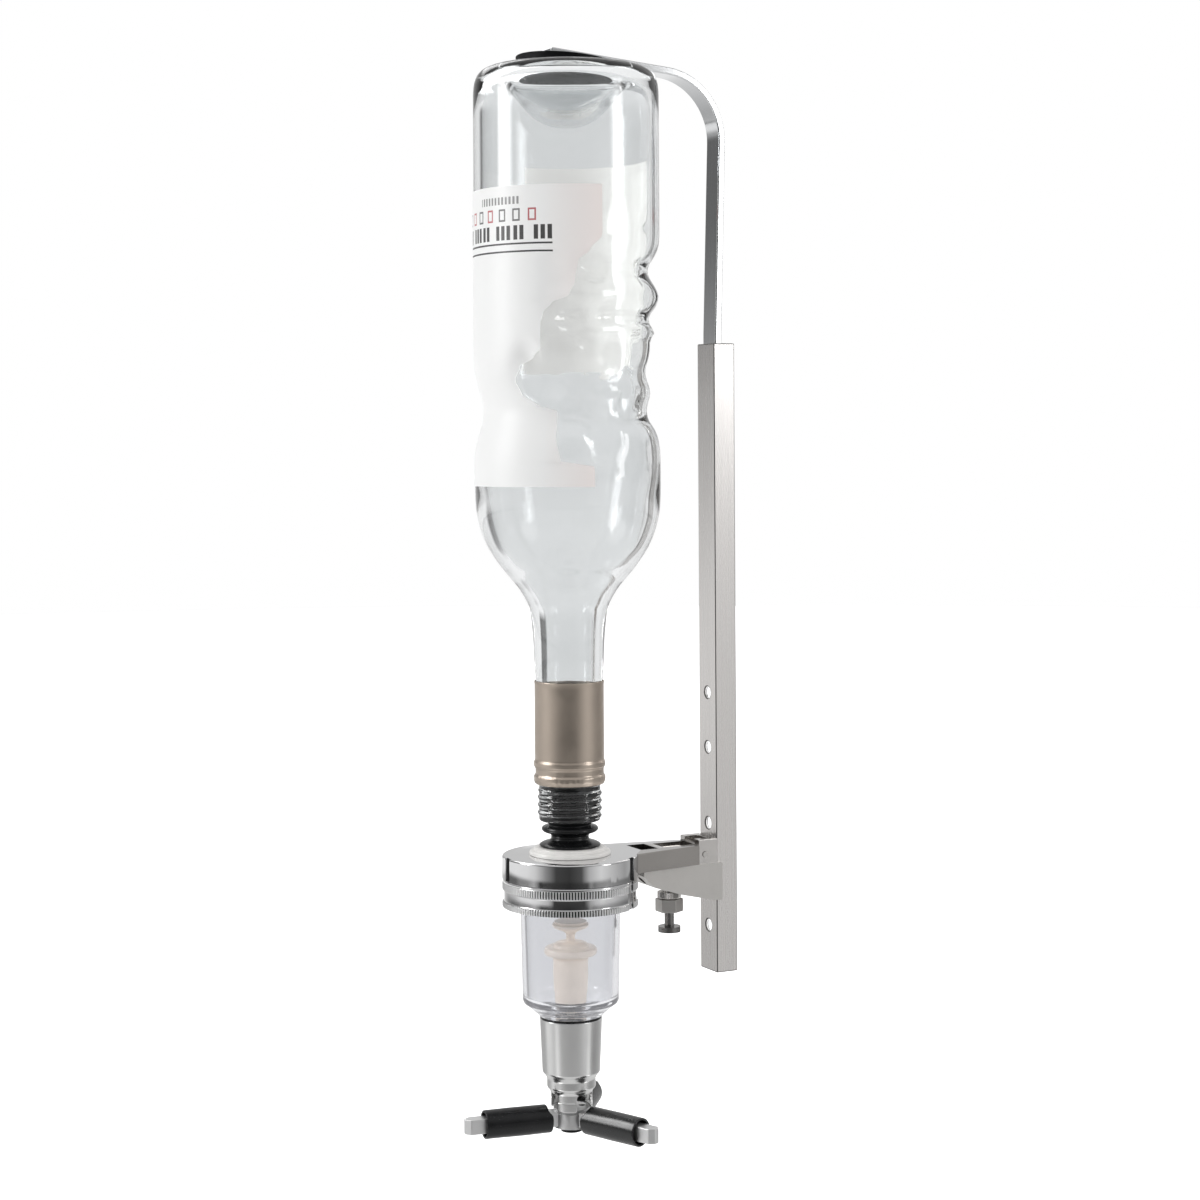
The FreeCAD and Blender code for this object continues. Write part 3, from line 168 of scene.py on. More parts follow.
class Recipe:
    """A node tree being written, for a material or for the world."""

    def __init__(self, owner):
        owner.use_nodes = True
        self.tree = owner.node_tree
        self.tree.nodes.clear()

    def node(self, kind, inputs=(), output=0, **settings):
        """Adds a shader node. Its inputs are a list, or a dictionary by their names."""
        made = self.tree.nodes.new("ShaderNode" + kind)
        for name, value in settings.items():
            setattr(made, name, value)
        pairs = inputs.items() if isinstance(inputs, dict) else enumerate(inputs)
        for key, value in pairs:
            if isinstance(value, Wire):
                self.tree.links.new(value.socket, made.inputs[key])
            else:
                made.inputs[key].default_value = value
        return Wire(self, made.outputs[output])

    def place(self, stretch=(1, 1, 1), source="Object"):
        """Coordinates in millimetres, from the object or its UV map, stretched."""
        plain = self.node("TexCoord", output=source)
        scale = [s / MM for s in stretch] if source == "Object" else stretch
        return self.node("Mapping", {"Vector": plain, "Scale": scale})

    def grain(self, place, scale, detail=2.0, rough=0.5):
        """Noise between 0 and 1. The scale is in features per millimetre."""
        return self.node("TexNoise", {
            "Vector": place, "Scale": scale, "Detail": detail, "Roughness": rough})

    def ramp(self, value, stops):
        """Colours along a value, from stops of (position, colour)."""
        colours = self.node("ValToRGB", [value])
        elements = colours.socket.node.color_ramp.elements
        while len(elements) < len(stops):
            elements.new(1.0)
        for element, (position, colour) in zip(elements, stops):
            element.position = position
            element.color = colour
        return colours

    def ray(self, kind):
        return self.node("LightPath", output=f"Is {kind} Ray")

    def span(self, value, low, high, start=0.0, end=1.0):
        """Moves a value from one range to another and clamps it."""
        return self.node("MapRange", [value, low, high, start, end])

    def blend(self, share, first, second):
        """A colour between two colours."""
        return self.node("Mix", {0: share, 6: first, 7: second}, output=2, data_type="RGBA")

    def relief(self, height, depth):
        """A bump from a height between 0 and 1, as deep as depth in millimetres."""
        return self.node("Bump", {
            "Height": height, "Distance": depth * MM, "Strength": 1.0})

    def axes(self, place):
        split = self.node("SeparateXYZ", [place])
        outputs = split.socket.node.outputs
        return [Wire(self, outputs[i]) for i in range(3)]

    def skin(self, **inputs):
        """The Principled shader. Underscores in the names stand for spaces."""
        return self.node("BsdfPrincipled",
                         {name.replace("_", " "): value for name, value in inputs.items()})

    def show(self, shader, target="OutputMaterial"):
        surface = self.tree.nodes.new("ShaderNode" + target).inputs["Surface"]
        self.tree.links.new(shader.socket, surface)


def rgb(red, green, blue):
    return (red, green, blue, 1.0)


def grey(level):
    return (level, level, level, 1.0)


def dimmed(colour, share):
    return rgb(*[channel * share for channel in colour[:3]])


finishes = {}


def finish(name):
    """The recipe of a new material, which is kept in finishes."""
    finishes[name] = bpy.data.materials.new(name)
    return Recipe(finishes[name])


print("recipe ready")

# %% [markdown]
# ## Studio
# Chrome and glass show what stands around them. A real studio has a white backdrop behind the
# object, a white table below it, and a dim room with a few bright and dark things to the sides.
# The world gives glossy rays that room in belts, one above the other. A belt is a ramp once
# round the object, and directions between two belts get a mix. Light that comes through glass is
# white behind the object only, so that the walls of the bottle get the thin dark lines that glass
# has before a lit backdrop. The camera sees plain white, and even light falls on everything else.

# %% World
# Each belt: upper edge, lower edge, [(degrees from the camera towards its right, percent of white)].
# Edges are heights of a direction, from 1 straight up to -1 straight down.
BELTS = [
    (0.16, 0.09, [
        (0, 5), (31, 6), (42, 30), (54, 36), (80, 26), (105, 30), (125, 60), (180, 66), (215, 45),
        (228, 18), (240, 14), (262, 15), (285, 30), (300, 40), (308, 6)]),
    (0.03, 0.0, [
        (0, 5), (31, 8), (42, 60), (54, 100), (80, 60), (105, 40), (180, 95), (205, 80), (234, 46),
        (262, 35), (300, 40), (308, 6)]),
    (-0.06, -0.156, [
        (0, 5), (20, 10), (33, 55), (54, 85), (84, 58), (106, 42), (150, 70), (180, 100), (256, 100),
        (284, 95), (300, 80), (320, 32), (337, 7)]),
    (-0.166, -0.1865, [
        (0, 3), (16, 5), (30, 7), (36, 30), (42, 19), (50, 29), (66, 35), (84, 28), (106, 22), (126, 18),
        (150, 50), (180, 95), (208, 60), (226, 27), (240, 15), (256, 15), (266, 27), (284, 31), (297, 50),
        (303, 30), (309, 4), (318, 6)]),
    (-0.19, -0.2, [
        (0, 5), (25, 5), (30, 20), (36, 47), (44, 66), (58, 90), (66, 78), (82, 72), (98, 55), (114, 45),
        (150, 70), (180, 100), (210, 72), (226, 60), (247, 68), (264, 95), (282, 100), (290, 100),
        (300, 92), (314, 74), (322, 62), (328, 42), (333, 5)]),
    (-0.235, -0.34, [
        (0, 46), (29, 48), (41, 54), (54, 66), (66, 56), (81, 48), (97, 34), (116, 40), (143, 54),
        (180, 100), (216, 48), (244, 56), (260, 95), (279, 88), (293, 62), (310, 54), (331, 52)])]
BACKDROP = [
    (0, 55), (100, 65), (132, 88), (150, 100), (214, 100), (221, 16), (252, 22), (262, 75), (300, 80),
    (330, 60)]
CEILING_EDGE = (0.155, 0.21)  # the backdrop fades to the white ceiling between these heights
TABLE_EDGE = (-0.2, -0.45)
OVERHEAD = 1.08
ZENITH = (0.7, 0.72)  # height of the direction, brightness
NADIR = (-0.6, 0.80)
AMBIENT = 0.65
SPOTS = [(305, -31, 2.2), (74, -31, 2.2), (262, 42, 12.0)]  # degrees to the right, degrees up, glow
SPOT_SPREAD = (14, 4)  # degrees off its middle where a spot starts and is full


def direction(rel_turn, rise):
    """A unit vector that points so far right of the camera's direction, and so far up."""
    angle = math.radians(CAMERA_TURN - 90 + rel_turn)
    level = math.cos(math.radians(rise))
    return Vector((math.cos(angle) * level, math.sin(angle) * level, math.sin(math.radians(rise))))


def ring(recipe, share, stops):
    """A ramp once round the object that ends as it starts."""
    closed = stops + [(360, stops[0][1])]
    return recipe.ramp(share, [(turned_by / 360, grey(light / 100)) for turned_by, light in closed])


world = bpy.data.worlds.new("studio")
bpy.context.scene.world = world
recipe = Recipe(world)
around = recipe.node("TexCoord", output="Generated")
x, y, z = recipe.axes(around)
share = (y.math("ARCTAN2", y, x) * (0.5 / math.pi) - (CAMERA_TURN - 90) / 360 + 1).part()
height_above, light_above = ZENITH
seen = grey(light_above)
for upper, lower, stops in BELTS:
    seen = recipe.blend(recipe.span(z, height_above, upper), seen, ring(recipe, share, stops))
    height_above = lower
seen = recipe.blend(recipe.span(z, height_above, NADIR[0]), seen, grey(NADIR[1]))
for rel_turn, rise, glow in SPOTS:
    facing = recipe.node("VectorMath", [around, direction(rel_turn, rise)], output=1,
                         operation="DOT_PRODUCT")
    start, full = (math.cos(math.radians(spread)) for spread in SPOT_SPREAD)
    seen = recipe.blend(recipe.span(facing, start, full), seen, grey(glow))
off_level = recipe.span(z, *CEILING_EDGE) + recipe.span(z, *TABLE_EDGE)
behind = recipe.blend(off_level, ring(recipe, share, BACKDROP), grey(OVERHEAD))
colour = recipe.blend(recipe.ray("Glossy"), grey(AMBIENT), seen)
colour = recipe.blend(recipe.ray("Transmission"), colour, behind)
colour = recipe.blend(recipe.ray("Camera"), colour, grey(1.0))
recipe.show(recipe.node("Background", [colour, 1.0]), "OutputWorld")
bpy.context.scene.view_settings.view_transform = "Standard"
print("belts in the room:", len(BELTS))

# %% [markdown]
# Softboxes are area lamps. A lamp's glow is its power over its area, so the helper takes the
# glow that a reflection should show, and works out the power. The cloth of a real softbox is
# brightest in the middle, so each box is three lamps of shrinking size, one before the other.

# %% Softboxes
SOFTBOXES = [  # name, turn from the camera's direction, distance, level, width, height, glow
    ("left_softbox", -82, 1100, 430, 380, 460, 9.8),
    ("right_softbox", 67, 1150, 430, 330, 460, 6.2),
    ("top_softbox", -150, 900, 900, 600, 500, 2.4),
]
AIM_LEVEL = 120
LAYERS = (1.0, 0.8, 0.6)
LAYER_GAP = 4


def softbox(name, rel_turn, distance, level, width, height, glow):
    spot = AXIS + direction(rel_turn, 0) * distance
    spot.z = level
    aim = Vector((AXIS.x, AXIS.y, AIM_LEVEL)) - spot
    stand = Matrix.Translation(spot * MM) @ aim.to_track_quat("-Z", "Y").to_matrix().to_4x4()
    for number, share in enumerate(LAYERS):
        lamp = bpy.data.lights.new(f"{name}_{number}", "AREA")
        lamp.shape = "RECTANGLE"
        lamp.size = width * share * MM
        lamp.size_y = height * (1 + share) / 2 * MM
        lamp.energy = glow / len(LAYERS) * math.pi * lamp.size * lamp.size_y
        set_back = Matrix.Translation((0, 0, -number * LAYER_GAP * MM))
        put(lamp.name, lamp).matrix_world = stand @ set_back


for settings in SOFTBOXES:
    softbox(*settings)
print("softboxes:", len(SOFTBOXES))

# %% [markdown]
# The floor is a pale disc well below the spout. It shows plain white to the camera except where
# the object's soft shadow falls, because it mixes a little diffuse shading into its own glow.

# %% Floor
FLOOR_LEVEL = -190
FLOOR_RADIUS = 4000
FLOOR_TONE = 0.85
FLOOR_GLOW = 0.82
bm = bmesh.new()
bmesh.ops.create_circle(bm, cap_ends=True, radius=FLOOR_RADIUS * MM, segments=96)
bmesh.ops.translate(bm, vec=Vector((0, AXIS.y, FLOOR_LEVEL)) * MM, verts=bm.verts)
recipe = finish("floor_paint")
painted = recipe.skin(Base_Color=grey(FLOOR_TONE), Roughness=0.7)
glow = recipe.node("Emission", [grey(1.0), FLOOR_GLOW])
both = recipe.node("AddShader", [painted, glow])
recipe.show(recipe.node("MixShader", [recipe.ray("Camera"), painted, both]))
floor = put_mesh("floor", bm)
floor.data.materials.append(finishes["floor_paint"])
floor.visible_glossy = False  # metal and glass show the even white of the world below
floor.visible_transmission = False

# %% [markdown]
# ## Metals
# Plated parts differ in how finely they were polished. Chrome is nearly a mirror with faint
# waves of the casting below. The satin parts were blasted, which shows as fine grain. Drawn
# aluminium and the polished bar carry lines along their length, so their noise is stretched.

# %% Metal finishes
def cast_metal(name, colour, roughness, wave, grain_depth, grain_scale):
    """Plated metal: soft waves below, fine grain on top, and hand marks in the gloss."""
    recipe = finish(name)
    place = recipe.place()
    marks = recipe.grain(place, 0.09, 4.0, 0.6)
    waves = recipe.grain(place, 0.06, 1.0)
    fine = recipe.grain(place, grain_scale, 2.0)
    height = waves * wave + fine * grain_depth
    recipe.show(recipe.skin(
        Base_Color=recipe.blend(marks, colour, dimmed(colour, 0.93)),
        Metallic=1.0,
        Roughness=recipe.span(marks, 0.3, 0.7, roughness * 0.8, roughness * 1.35),
        Normal=recipe.relief(height, 1.0)))


def drawn_metal(name, colour, roughness, line_depth, contrast, along=(2.2, 2.2, 0.012)):
    """Metal with lines along one direction, from a die or a belt."""
    recipe = finish(name)
    lines = recipe.grain(recipe.place(along), 1.0, 3.0, 0.65)
    bands = recipe.grain(recipe.place([a * 0.12 for a in along]), 1.0, 1.0)
    shade = recipe.span(lines * 0.6 + bands * 0.4, 0.3, 0.7)
    recipe.show(recipe.skin(
        Base_Color=recipe.blend(shade, dimmed(colour, 1 - contrast), colour), Metallic=1.0,
        Roughness=recipe.span(lines, 0.3, 0.7, roughness * 0.85, roughness * 1.2),
        Normal=recipe.relief(lines, line_depth)))


# Colour, roughness, depth of the casting's waves, depth of the grain, grains in a millimetre.
cast_metal("chrome", rgb(0.73, 0.73, 0.735), 0.04, 0.006, 0.0004, 2.5)
cast_metal("soft_chrome", rgb(0.72, 0.72, 0.715), 0.2, 0.03, 0.001, 3.0)
# Painted highlight: a pale metal for the crests of the knurl.
cast_metal("knurl_crest_painted_highlight", grey(0.93), 0.45, 0.01, 0.001, 3.0)
cast_metal("arm_nickel", rgb(0.43, 0.41, 0.39), 0.16, 0.02, 0.0008, 3.0)
# Painted shade: a near black metal for the grooves of the knurl.
cast_metal("knurl_gap_painted_shade", rgb(0.05, 0.05, 0.055), 0.4, 0.01, 0.001, 3.0)
cast_metal("satin_steel", rgb(0.56, 0.545, 0.525), 0.40, 0.01, 0.003, 4.0)
cast_metal("dark_nickel", rgb(0.24, 0.235, 0.23), 0.22, 0.02, 0.001, 4.0)
# Painted shade: a dark metal for the rail's sharp edges, for the dark room they reflect.
cast_metal("painted_edge_shade", rgb(0.10, 0.097, 0.093), 0.5, 0.01, 0.001, 4.0)
cast_metal("nickel", rgb(0.66, 0.64, 0.62), 0.13, 0.03, 0.001, 4.0)
cast_metal("plated_steel", grey(0.74), 0.42, 0.01, 0.001, 4.0)
cast_metal("brass", rgb(0.30, 0.25, 0.18), 0.35, 0.03, 0.004, 3.0)
cast_metal("capsule_foil", rgb(0.50, 0.43, 0.365), 0.36, 0.04, 0.003, 5.0)
# Colour, roughness, depth of the lines, contrast.
drawn_metal("chrome_bar", rgb(0.72, 0.73, 0.74), 0.13, 0.0015, 0.08, (1.6, 0.02, 0.012))
drawn_metal("spring_steel", rgb(0.50, 0.51, 0.53), 0.22, 0.002, 0.2)
drawn_metal("rail_aluminium", rgb(0.69, 0.67, 0.655), 0.25, 0.001, 0.04)
print("finishes so far:", sorted(finishes))

# %% [markdown]
# ## Glass and clear plastic
# Real glass bends light at each of its faces, so both walls of the bottle are modelled and the
# shader refracts. Lamps can't shine through a refracting wall in this renderer without very
# long renders, so shadow rays see a nearly clear film instead.

# %% Clear finishes
def clear_wall(name, tint, film, ior, wave_depth, wave_scale, haze=0.0, painted_glow=0.0):
    """A refracting wall. Haze is its roughness, and painted_glow a faint painted light that brightens it
    though it is no lamp.
    """
    recipe = finish(name)
    waves = recipe.grain(recipe.place((1, 1, 0.35)), wave_scale, 2.0)
    wall = recipe.skin(Base_Color=tint, Roughness=haze, IOR=ior, Transmission_Weight=1.0,
                       Emission_Color=rgb(0.94, 0.94, 1.0), Emission_Strength=painted_glow,
                       Normal=recipe.relief(waves, wave_depth))
    clear = recipe.node("BsdfTransparent", [film])
    recipe.show(recipe.node("MixShader", [recipe.ray("Shadow"), wall, clear]))


clear_wall("bottle_glass", rgb(0.822, 0.835, 0.84), grey(0.93), 1.5, 0.05, 0.05)
# The chamber's last number is a faint painted glow, which lightens the plastic.
clear_wall("chamber_plastic", rgb(0.735, 0.74, 0.757), grey(0.97), 1.49, 0.02, 0.05, 0.05, 0.036)
print("clear finishes ready")

# %% [markdown]
# ## Plastics and rubber
# Moulded plastic has a very fine texture and slightly uneven gloss. Rubber is darker, and duller
# where it is pressed on glass. The thin cream parts get a faint painted glow, for the light that passes
# through them.

# %% Moulded finishes
def moulded(name, colour, roughness, pit_depth, pit_scale, second=None, mirror=0.5, glow=0.0):
    recipe = finish(name)
    place = recipe.place()
    pits = recipe.grain(place, pit_scale, 3.0, 0.6)
    clouds = recipe.grain(place, 0.12, 3.0)
    recipe.show(recipe.skin(
        Base_Color=recipe.blend(recipe.span(clouds, 0.35, 0.7), colour, second or dimmed(colour, 0.9)),
        Roughness=recipe.span(clouds, 0.3, 0.7, roughness * 0.85, roughness * 1.15),
        Specular_IOR_Level=mirror, Emission_Color=colour, Emission_Strength=glow,
        Normal=recipe.relief(pits, pit_depth)))


moulded("pressed_rubber", rgb(0.004, 0.0045, 0.005), 0.5, 0.004, 3.0, mirror=0.12)
moulded("black_rubber", rgb(0.006, 0.0065, 0.007), 0.24, 0.003, 3.0, rgb(0.010, 0.010, 0.011), 0.3)
moulded("worn_rubber", rgb(0.006, 0.0065, 0.007), 0.27, 0.01, 2.0, mirror=0.6)
moulded("white_plastic", rgb(0.90, 0.885, 0.86), 0.35, 0.002, 2.0)
# The cream plastic's glow is painted light, for light that passes through the thin parts.
moulded("cream_plastic", rgb(0.96, 0.86, 0.76), 0.22, 0.002, 2.0, glow=0.11)
moulded("red_fibre", rgb(0.42, 0.05, 0.035), 0.55, 0.03, 1.2)
# Painted light: a pale glowing finish for the rail's inside, for the lit white seen through its holes.
moulded("rail_inside_painted_light", rgb(0.86, 0.865, 0.87), 0.6, 0.004, 1.5, glow=0.5)
moulded("black_nylon", rgb(0.03, 0.03, 0.032), 0.38, 0.006, 3.0)
print("moulded finishes ready")

# %% [markdown]
# ## Building tools
# Most of the parts are turned or moulded round an axis, so one helper draws half of the section
# as a wire, rounds its corners and spins it. Corners are (radius, level) in millimetres, and a
# third number says how far the rounding reaches along each side of that corner.

# %% Section, spin and make
ROUND_STEPS = 4
SOFT_ANGLE = 32  # degrees, edges sharper than this get softened


def wire(corners):
    """A bmesh that holds one closed wire through the corners, with the asked corners rounded."""
    bm = bmesh.new()
    spots = [bm.verts.new((corner[0], 0, corner[1])) for corner in corners]
    for first, second in zip(spots, spots[1:] + spots[:1]):
        bm.edges.new((first, second))
    for reach in sorted({corner[2] for corner in corners if len(corner) > 2}):
        chosen = [spot for spot, corner in zip(spots, corners) if corner[2:] == (reach,)]
        bmesh.ops.bevel(bm, geom=chosen, offset=reach, offset_type="OFFSET", segments=ROUND_STEPS,
                        profile=0.5, affect="VERTICES", material=-1)
    return bm


def split_rows(bm, longest):
    """Cuts the wire's long edges into pieces no longer than longest."""
    for edge in list(bm.edges):
        cuts = int(edge.calc_length() / longest)
        if cuts:
            bmesh.ops.subdivide_edges(bm, edges=[edge], cuts=cuts)
    return bm


def spin(bm, steps=128):
    """Turns the wire once round Z, closes its poles and points its faces outwards."""
    bmesh.ops.spin(bm, geom=bm.verts[:] + bm.edges[:], cent=(0, 0, 0), axis=(0, 0, 1),
                   dvec=(0, 0, 0), angle=math.tau, steps=steps, use_merge=True)
    bmesh.ops.remove_doubles(bm, verts=bm.verts, dist=1e-4)
    bmesh.ops.recalc_face_normals(bm, faces=bm.faces)
    return bm


def turned(corners, steps=128):
    return spin(wire(corners), steps)


def resize(bm, factor):
    bmesh.ops.scale(bm, vec=(factor, factor, factor), verts=bm.verts)


def rotate(bm, angle, axis="Z"):
    turned_by = Matrix.Rotation(math.radians(angle), 3, axis)
    bmesh.ops.rotate(bm, cent=(0, 0, 0), matrix=turned_by, verts=bm.verts)


def keep_flat(piece):
    """Lets large faces keep their own direction, so that only the narrow roundings look round."""
    weigh = piece.modifiers.new("flat_faces", "WEIGHTED_NORMAL")
    weigh.keep_sharp = True


def make(name, bm, node, sharp=32, at=AXIS, finish_name=None, flat=True):
    """Turns a bmesh in millimetres into a piece that rides as node does, and stands for it."""
    bmesh.ops.translate(bm, vec=at, verts=bm.verts)
    resize(bm, MM)
    piece = put_mesh(name, bm)
    mesh = piece.data
    mesh.shade_smooth()
    mesh.set_sharp_from_angle(angle=math.radians(sharp))
    slot = nodes[node].data.materials[0].name
    mesh.materials.append(finishes[finish_name or slot])
    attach(piece, nodes[node]["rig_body"])
    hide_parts(node)
    if flat:
        keep_flat(piece)
    print(name, "faces:", len(mesh.polygons))
    return piece


def soften(piece, width):
    """A narrow rounding on the sharp edges, which catches the light as real edges do."""
    bevel = piece.modifiers.new("soft_edges", "BEVEL")
    bevel.width = width * MM
    bevel.segments = 2
    bevel.limit_method = "ANGLE"
    bevel.angle_limit = math.radians(SOFT_ANGLE)
    bevel.harden_normals = True
    return bevel


def merged_copy(node):
    """The mesh of a part whose shape is right, in millimetres and with its points merged."""
    bm = bmesh.new()
    bm.from_mesh(nodes[node].data)
    resize(bm, 1 / MM)
    bmesh.ops.remove_doubles(bm, verts=bm.verts, dist=1e-3)
    return bm


def polar(vertex):
    """Radius and angle in degrees of a bmesh vertex round the local Z axis."""
    return math.hypot(vertex.co.x, vertex.co.y), math.degrees(math.atan2(vertex.co.y, vertex.co.x))


def set_radius(vertex, radius):
    now = math.hypot(vertex.co.x, vertex.co.y)
    vertex.co.x *= radius / now
    vertex.co.y *= radius / now


print("tools ready")

# %% [markdown]
# ## Bottle
# The bottle is one closed shell, outer wall, mouth, inner wall and the punt in its base. Its
# section runs through a few chosen points as one smooth curve where the glass was blown, and is
# spun. Then the surface is pressed in: an even waist, and a grip of soft grooves and thumb prints
# on the side away from the label. The finish gets a screw thread.

# %% Bottle section
BOTTLE_STEPS = 176
CURVE_STEP = 1.1
FINISH = [(12.6, 0.2, 0.9), (12.6, 15.2, 0.5), (13.6, 15.6, 0.4), (13.6, 57.0)]
SHOULDER = [
    (13.8, 58.4), (14.3, 66), (14.8, 76), (15.9, 86.2), (17.5, 90.4), (20.6, 95.5), (25.4, 101.2),
    (29.7, 106.9), (33.2, 112.7), (35.6, 118.4), (37.1, 124.2), (37.8, 130), (38.0, 137)]
HEEL = [
    (38.0, 297), (37.5, 301.6), (35.7, 305.4), (32.6, 307.4), (29.2, 308), (26, 307), (23.2, 304.4),
    (20.2, 300), (16.4, 295.2), (11.5, 291.2), (6, 288.7), (0.01, 287.9)]
PUNT_INSIDE = [
    (0.01, 283.1), (5.6, 283.7), (11, 285.9), (15.7, 289.5), (19.4, 294), (22.6, 298.8), (25.6, 302),
    (28.9, 303.3), (31.7, 302), (33.6, 298.4), (34.4, 292), (34.5, 283)]
SHOULDER_INSIDE = [
    (34.6, 146), (33.9, 138), (32.6, 130), (30.6, 121), (27.6, 113.2), (23.6, 107), (19.2, 102),
    (15.2, 96), (12.0, 90), (10.2, 84), (9.6, 76), (9.45, 66)]
BORE = [(9.45, 15), (9.45, 0.2, 0.8)]
BODY_ROWS = 1.9  # the glass gets a row of faces at least this often
THREAD_ROWS = 0.42  # and this often below THREAD_ROWS_TOP
THREAD_ROWS_TOP = 15.3
THREAD_PITCH = 3.1
THREAD_HEIGHT = 0.65
THREAD_BAND = (1.2, 13.6)
THREAD_FADE = 1.2
THREAD_WIDTH = 0.24  # as a share of the pitch
OUTSIDE_NECK = 12  # the neck's outer wall has a larger radius, its bore a smaller one
PRESSED_BODY = (30, 280)  # least radius and highest level of the glass that gets pressed in


def smooth_line(points):
    """Points CURVE_STEP apart on one smooth curve (Catmull-Rom) through the given points."""
    ends = points[:1] + points + points[-1:]
    line = []
    for before, start, end, after in zip(ends, ends[1:], ends[2:], ends[3:]):
        count = max(1, round(math.dist(start, end) / CURVE_STEP))
        for number in range(count):
            t = number / count
            line.append(tuple(
                b + 0.5 * t * (c - a + t * (2 * a - 5 * b + 4 * c - d + t * (3 * (b - c) + d - a)))
                for a, b, c, d in zip(before, start, end, after)))
    return line + points[-1:]


def smooth_step(value):
    value = min(max(value, 0.0), 1.0)
    return value * value * (3 - 2 * value)


def bell(distance, width):
    return math.exp(-(distance / width) ** 2)


def turn_gap(first, second):
    """Smallest angle between two directions, in degrees."""
    return (first - second + 180) % 360 - 180


WAIST_LEVEL = 167.5
WAIST_WIDTH = 11.5
WAIST_DEPTH = 4.1
GRIP_TURN = 28  # polar angle of the middle of the grip
GRIP_HALF_WIDTH = 62
GRIP_SIDE_FADE = 26
# Each groove: level, width, depth.
GRIP_GROOVES = [(224.5, 6.6, 5.0), (204.6, 5.4, 4.6), (182.5, 8.5, 5.2), (167.5, 8.8, 5.0)]
GRIP_FLAT = (161, 199, 3.5)  # between these levels the grip is at least this deep
GRIP_FLAT_FADE = 7
GRIP_BLEND = 3.0  # a high number keeps the deepest groove only, a low one mixes them
DENTS = [  # polar angle, level, radius, depth; a minus depth is a bump
    (-50, 183, 8.5, 2.2), (-22, 203, 7.0, 2.4), (-4, 224, 8.0, 2.0), (-26, 191, 6.5, -1.0),
    (-8, 212, 6.0, -0.8), (-14, 168, 11.0, 2.0), (-2, 154, 9.5, 2.6), (10, 190, 8.0, 1.6),
    (-30, 172, 8.0, 1.4), (14, 240, 7.0, 0.8), (40, 212, 8.0, -0.8), (66, 190, 9.0, 0.8),
    (-52, 190, 4.5, 1.4), (-40, 200, 5.0, -0.9), (-34, 214, 5.5, 1.2), (-12, 196, 5.0, 1.2),
    (4, 206, 5.0, 1.0), (-20, 160, 6.0, -0.9), (-6, 180, 5.5, 1.2), (22, 172, 5.0, 1.0),
    (20, 150, 7.0, 1.0), (-24, 150, 6.0, 1.1)]
BODY_RADIUS = 38.0
DEEPEST_PRESS = 6.2


def press_depth(angle, level):
    """How far the glass is pressed in at a polar angle and level, in millimetres."""
    waist = WAIST_DEPTH * bell(level - WAIST_LEVEL, WAIST_WIDTH)
    side = smooth_step((GRIP_HALF_WIDTH - abs(turn_gap(angle, GRIP_TURN))) / GRIP_SIDE_FADE + 0.5)
    low, high, depth = GRIP_FLAT
    above = smooth_step((level - low) / GRIP_FLAT_FADE + 0.5)
    flat = depth * above * smooth_step((high - level) / GRIP_FLAT_FADE + 0.5)
    shares = [flat] + [depth * bell(level - height, width) for height, width, depth in GRIP_GROOVES]
    grooves = sum(share ** GRIP_BLEND for share in shares) ** (1 / GRIP_BLEND)
    pressed = waist * (1 - side) + grooves * side
    for where, height, radius, depth in DENTS:
        reach = math.hypot(math.radians(turn_gap(angle, where)) * BODY_RADIUS, level - height) / radius
        pressed += depth * math.exp(-reach ** 3)
    return min(max(pressed, 0.0), DEEPEST_PRESS)


def thread_rise(angle, level):
    """Height of the screw thread on the finish, fading out at both ends."""
    low, high = THREAD_BAND
    share = (level - angle / 360 * THREAD_PITCH) / THREAD_PITCH % 1
    ends = smooth_step((level - low) / THREAD_FADE) * smooth_step((high - level) / THREAD_FADE)
    return THREAD_HEIGHT * bell(share - 0.5, THREAD_WIDTH) * ends


# %% [markdown]
# The section gets close rows where the surface will be pressed, and closer ones for the thread.
# The glass crosses the axis at the punt, and that one edge is taken out before the spin.

# %% Bottle shell
walls = (FINISH + smooth_line(SHOULDER) + smooth_line(HEEL) + smooth_line(PUNT_INSIDE)
         + smooth_line(SHOULDER_INSIDE) + BORE)
bm = wire(walls)
for edge in list(bm.edges):
    low, high = sorted(vert.co.z for vert in edge.verts)
    outside = min(vert.co.x for vert in edge.verts) > OUTSIDE_NECK
    rows = THREAD_ROWS if outside and high < THREAD_ROWS_TOP else BODY_ROWS
    cuts = int(edge.calc_length() / rows)
    if cuts and high - low > 1 and max(vert.co.x for vert in edge.verts) > 1:
        bmesh.ops.subdivide_edges(bm, edges=[edge], cuts=cuts)
for edge in [e for e in bm.edges if all(v.co.x < 0.1 for v in e.verts)]:
    bm.edges.remove(edge)
for vertex in bm.verts:
    vertex.co.x = 0.0 if vertex.co.x < 0.1 else vertex.co.x
spin(bm, BOTTLE_STEPS)
for vertex in bm.verts:
    radius, angle = polar(vertex)
    level = vertex.co.z
    if radius > OUTSIDE_NECK and level < 15:
        set_radius(vertex, radius + thread_rise(angle, level))
    elif radius > PRESSED_BODY[0] and level < PRESSED_BODY[1]:
        set_radius(vertex, radius - press_depth(angle, level))
make("bottle_shell", bm, "bottle", sharp=60, flat=False)

# %% [markdown]
# ## Labels
# A label is a thin sheet of paper that follows the glass. A flat grid is laid out in millimetres
# along and across the label, its UV map is stored, and then every point is wrapped on the bottle.
# The right side of the front label is cut in a soft curve round the grip.

# %% Label sheets
LABEL_LIFT = 0.17
PAPER = 0.22
LABEL_TILE = 1.6
LABEL_ROW = 1.0
FRONT_LEVELS = (137.2, 256.8)


def facing_out(face):
    """Above zero when a face points away from the origin's upright axis."""
    centre = face.calc_center_median()
    return face.normal.dot(Vector((centre.x, centre.y, 0)))


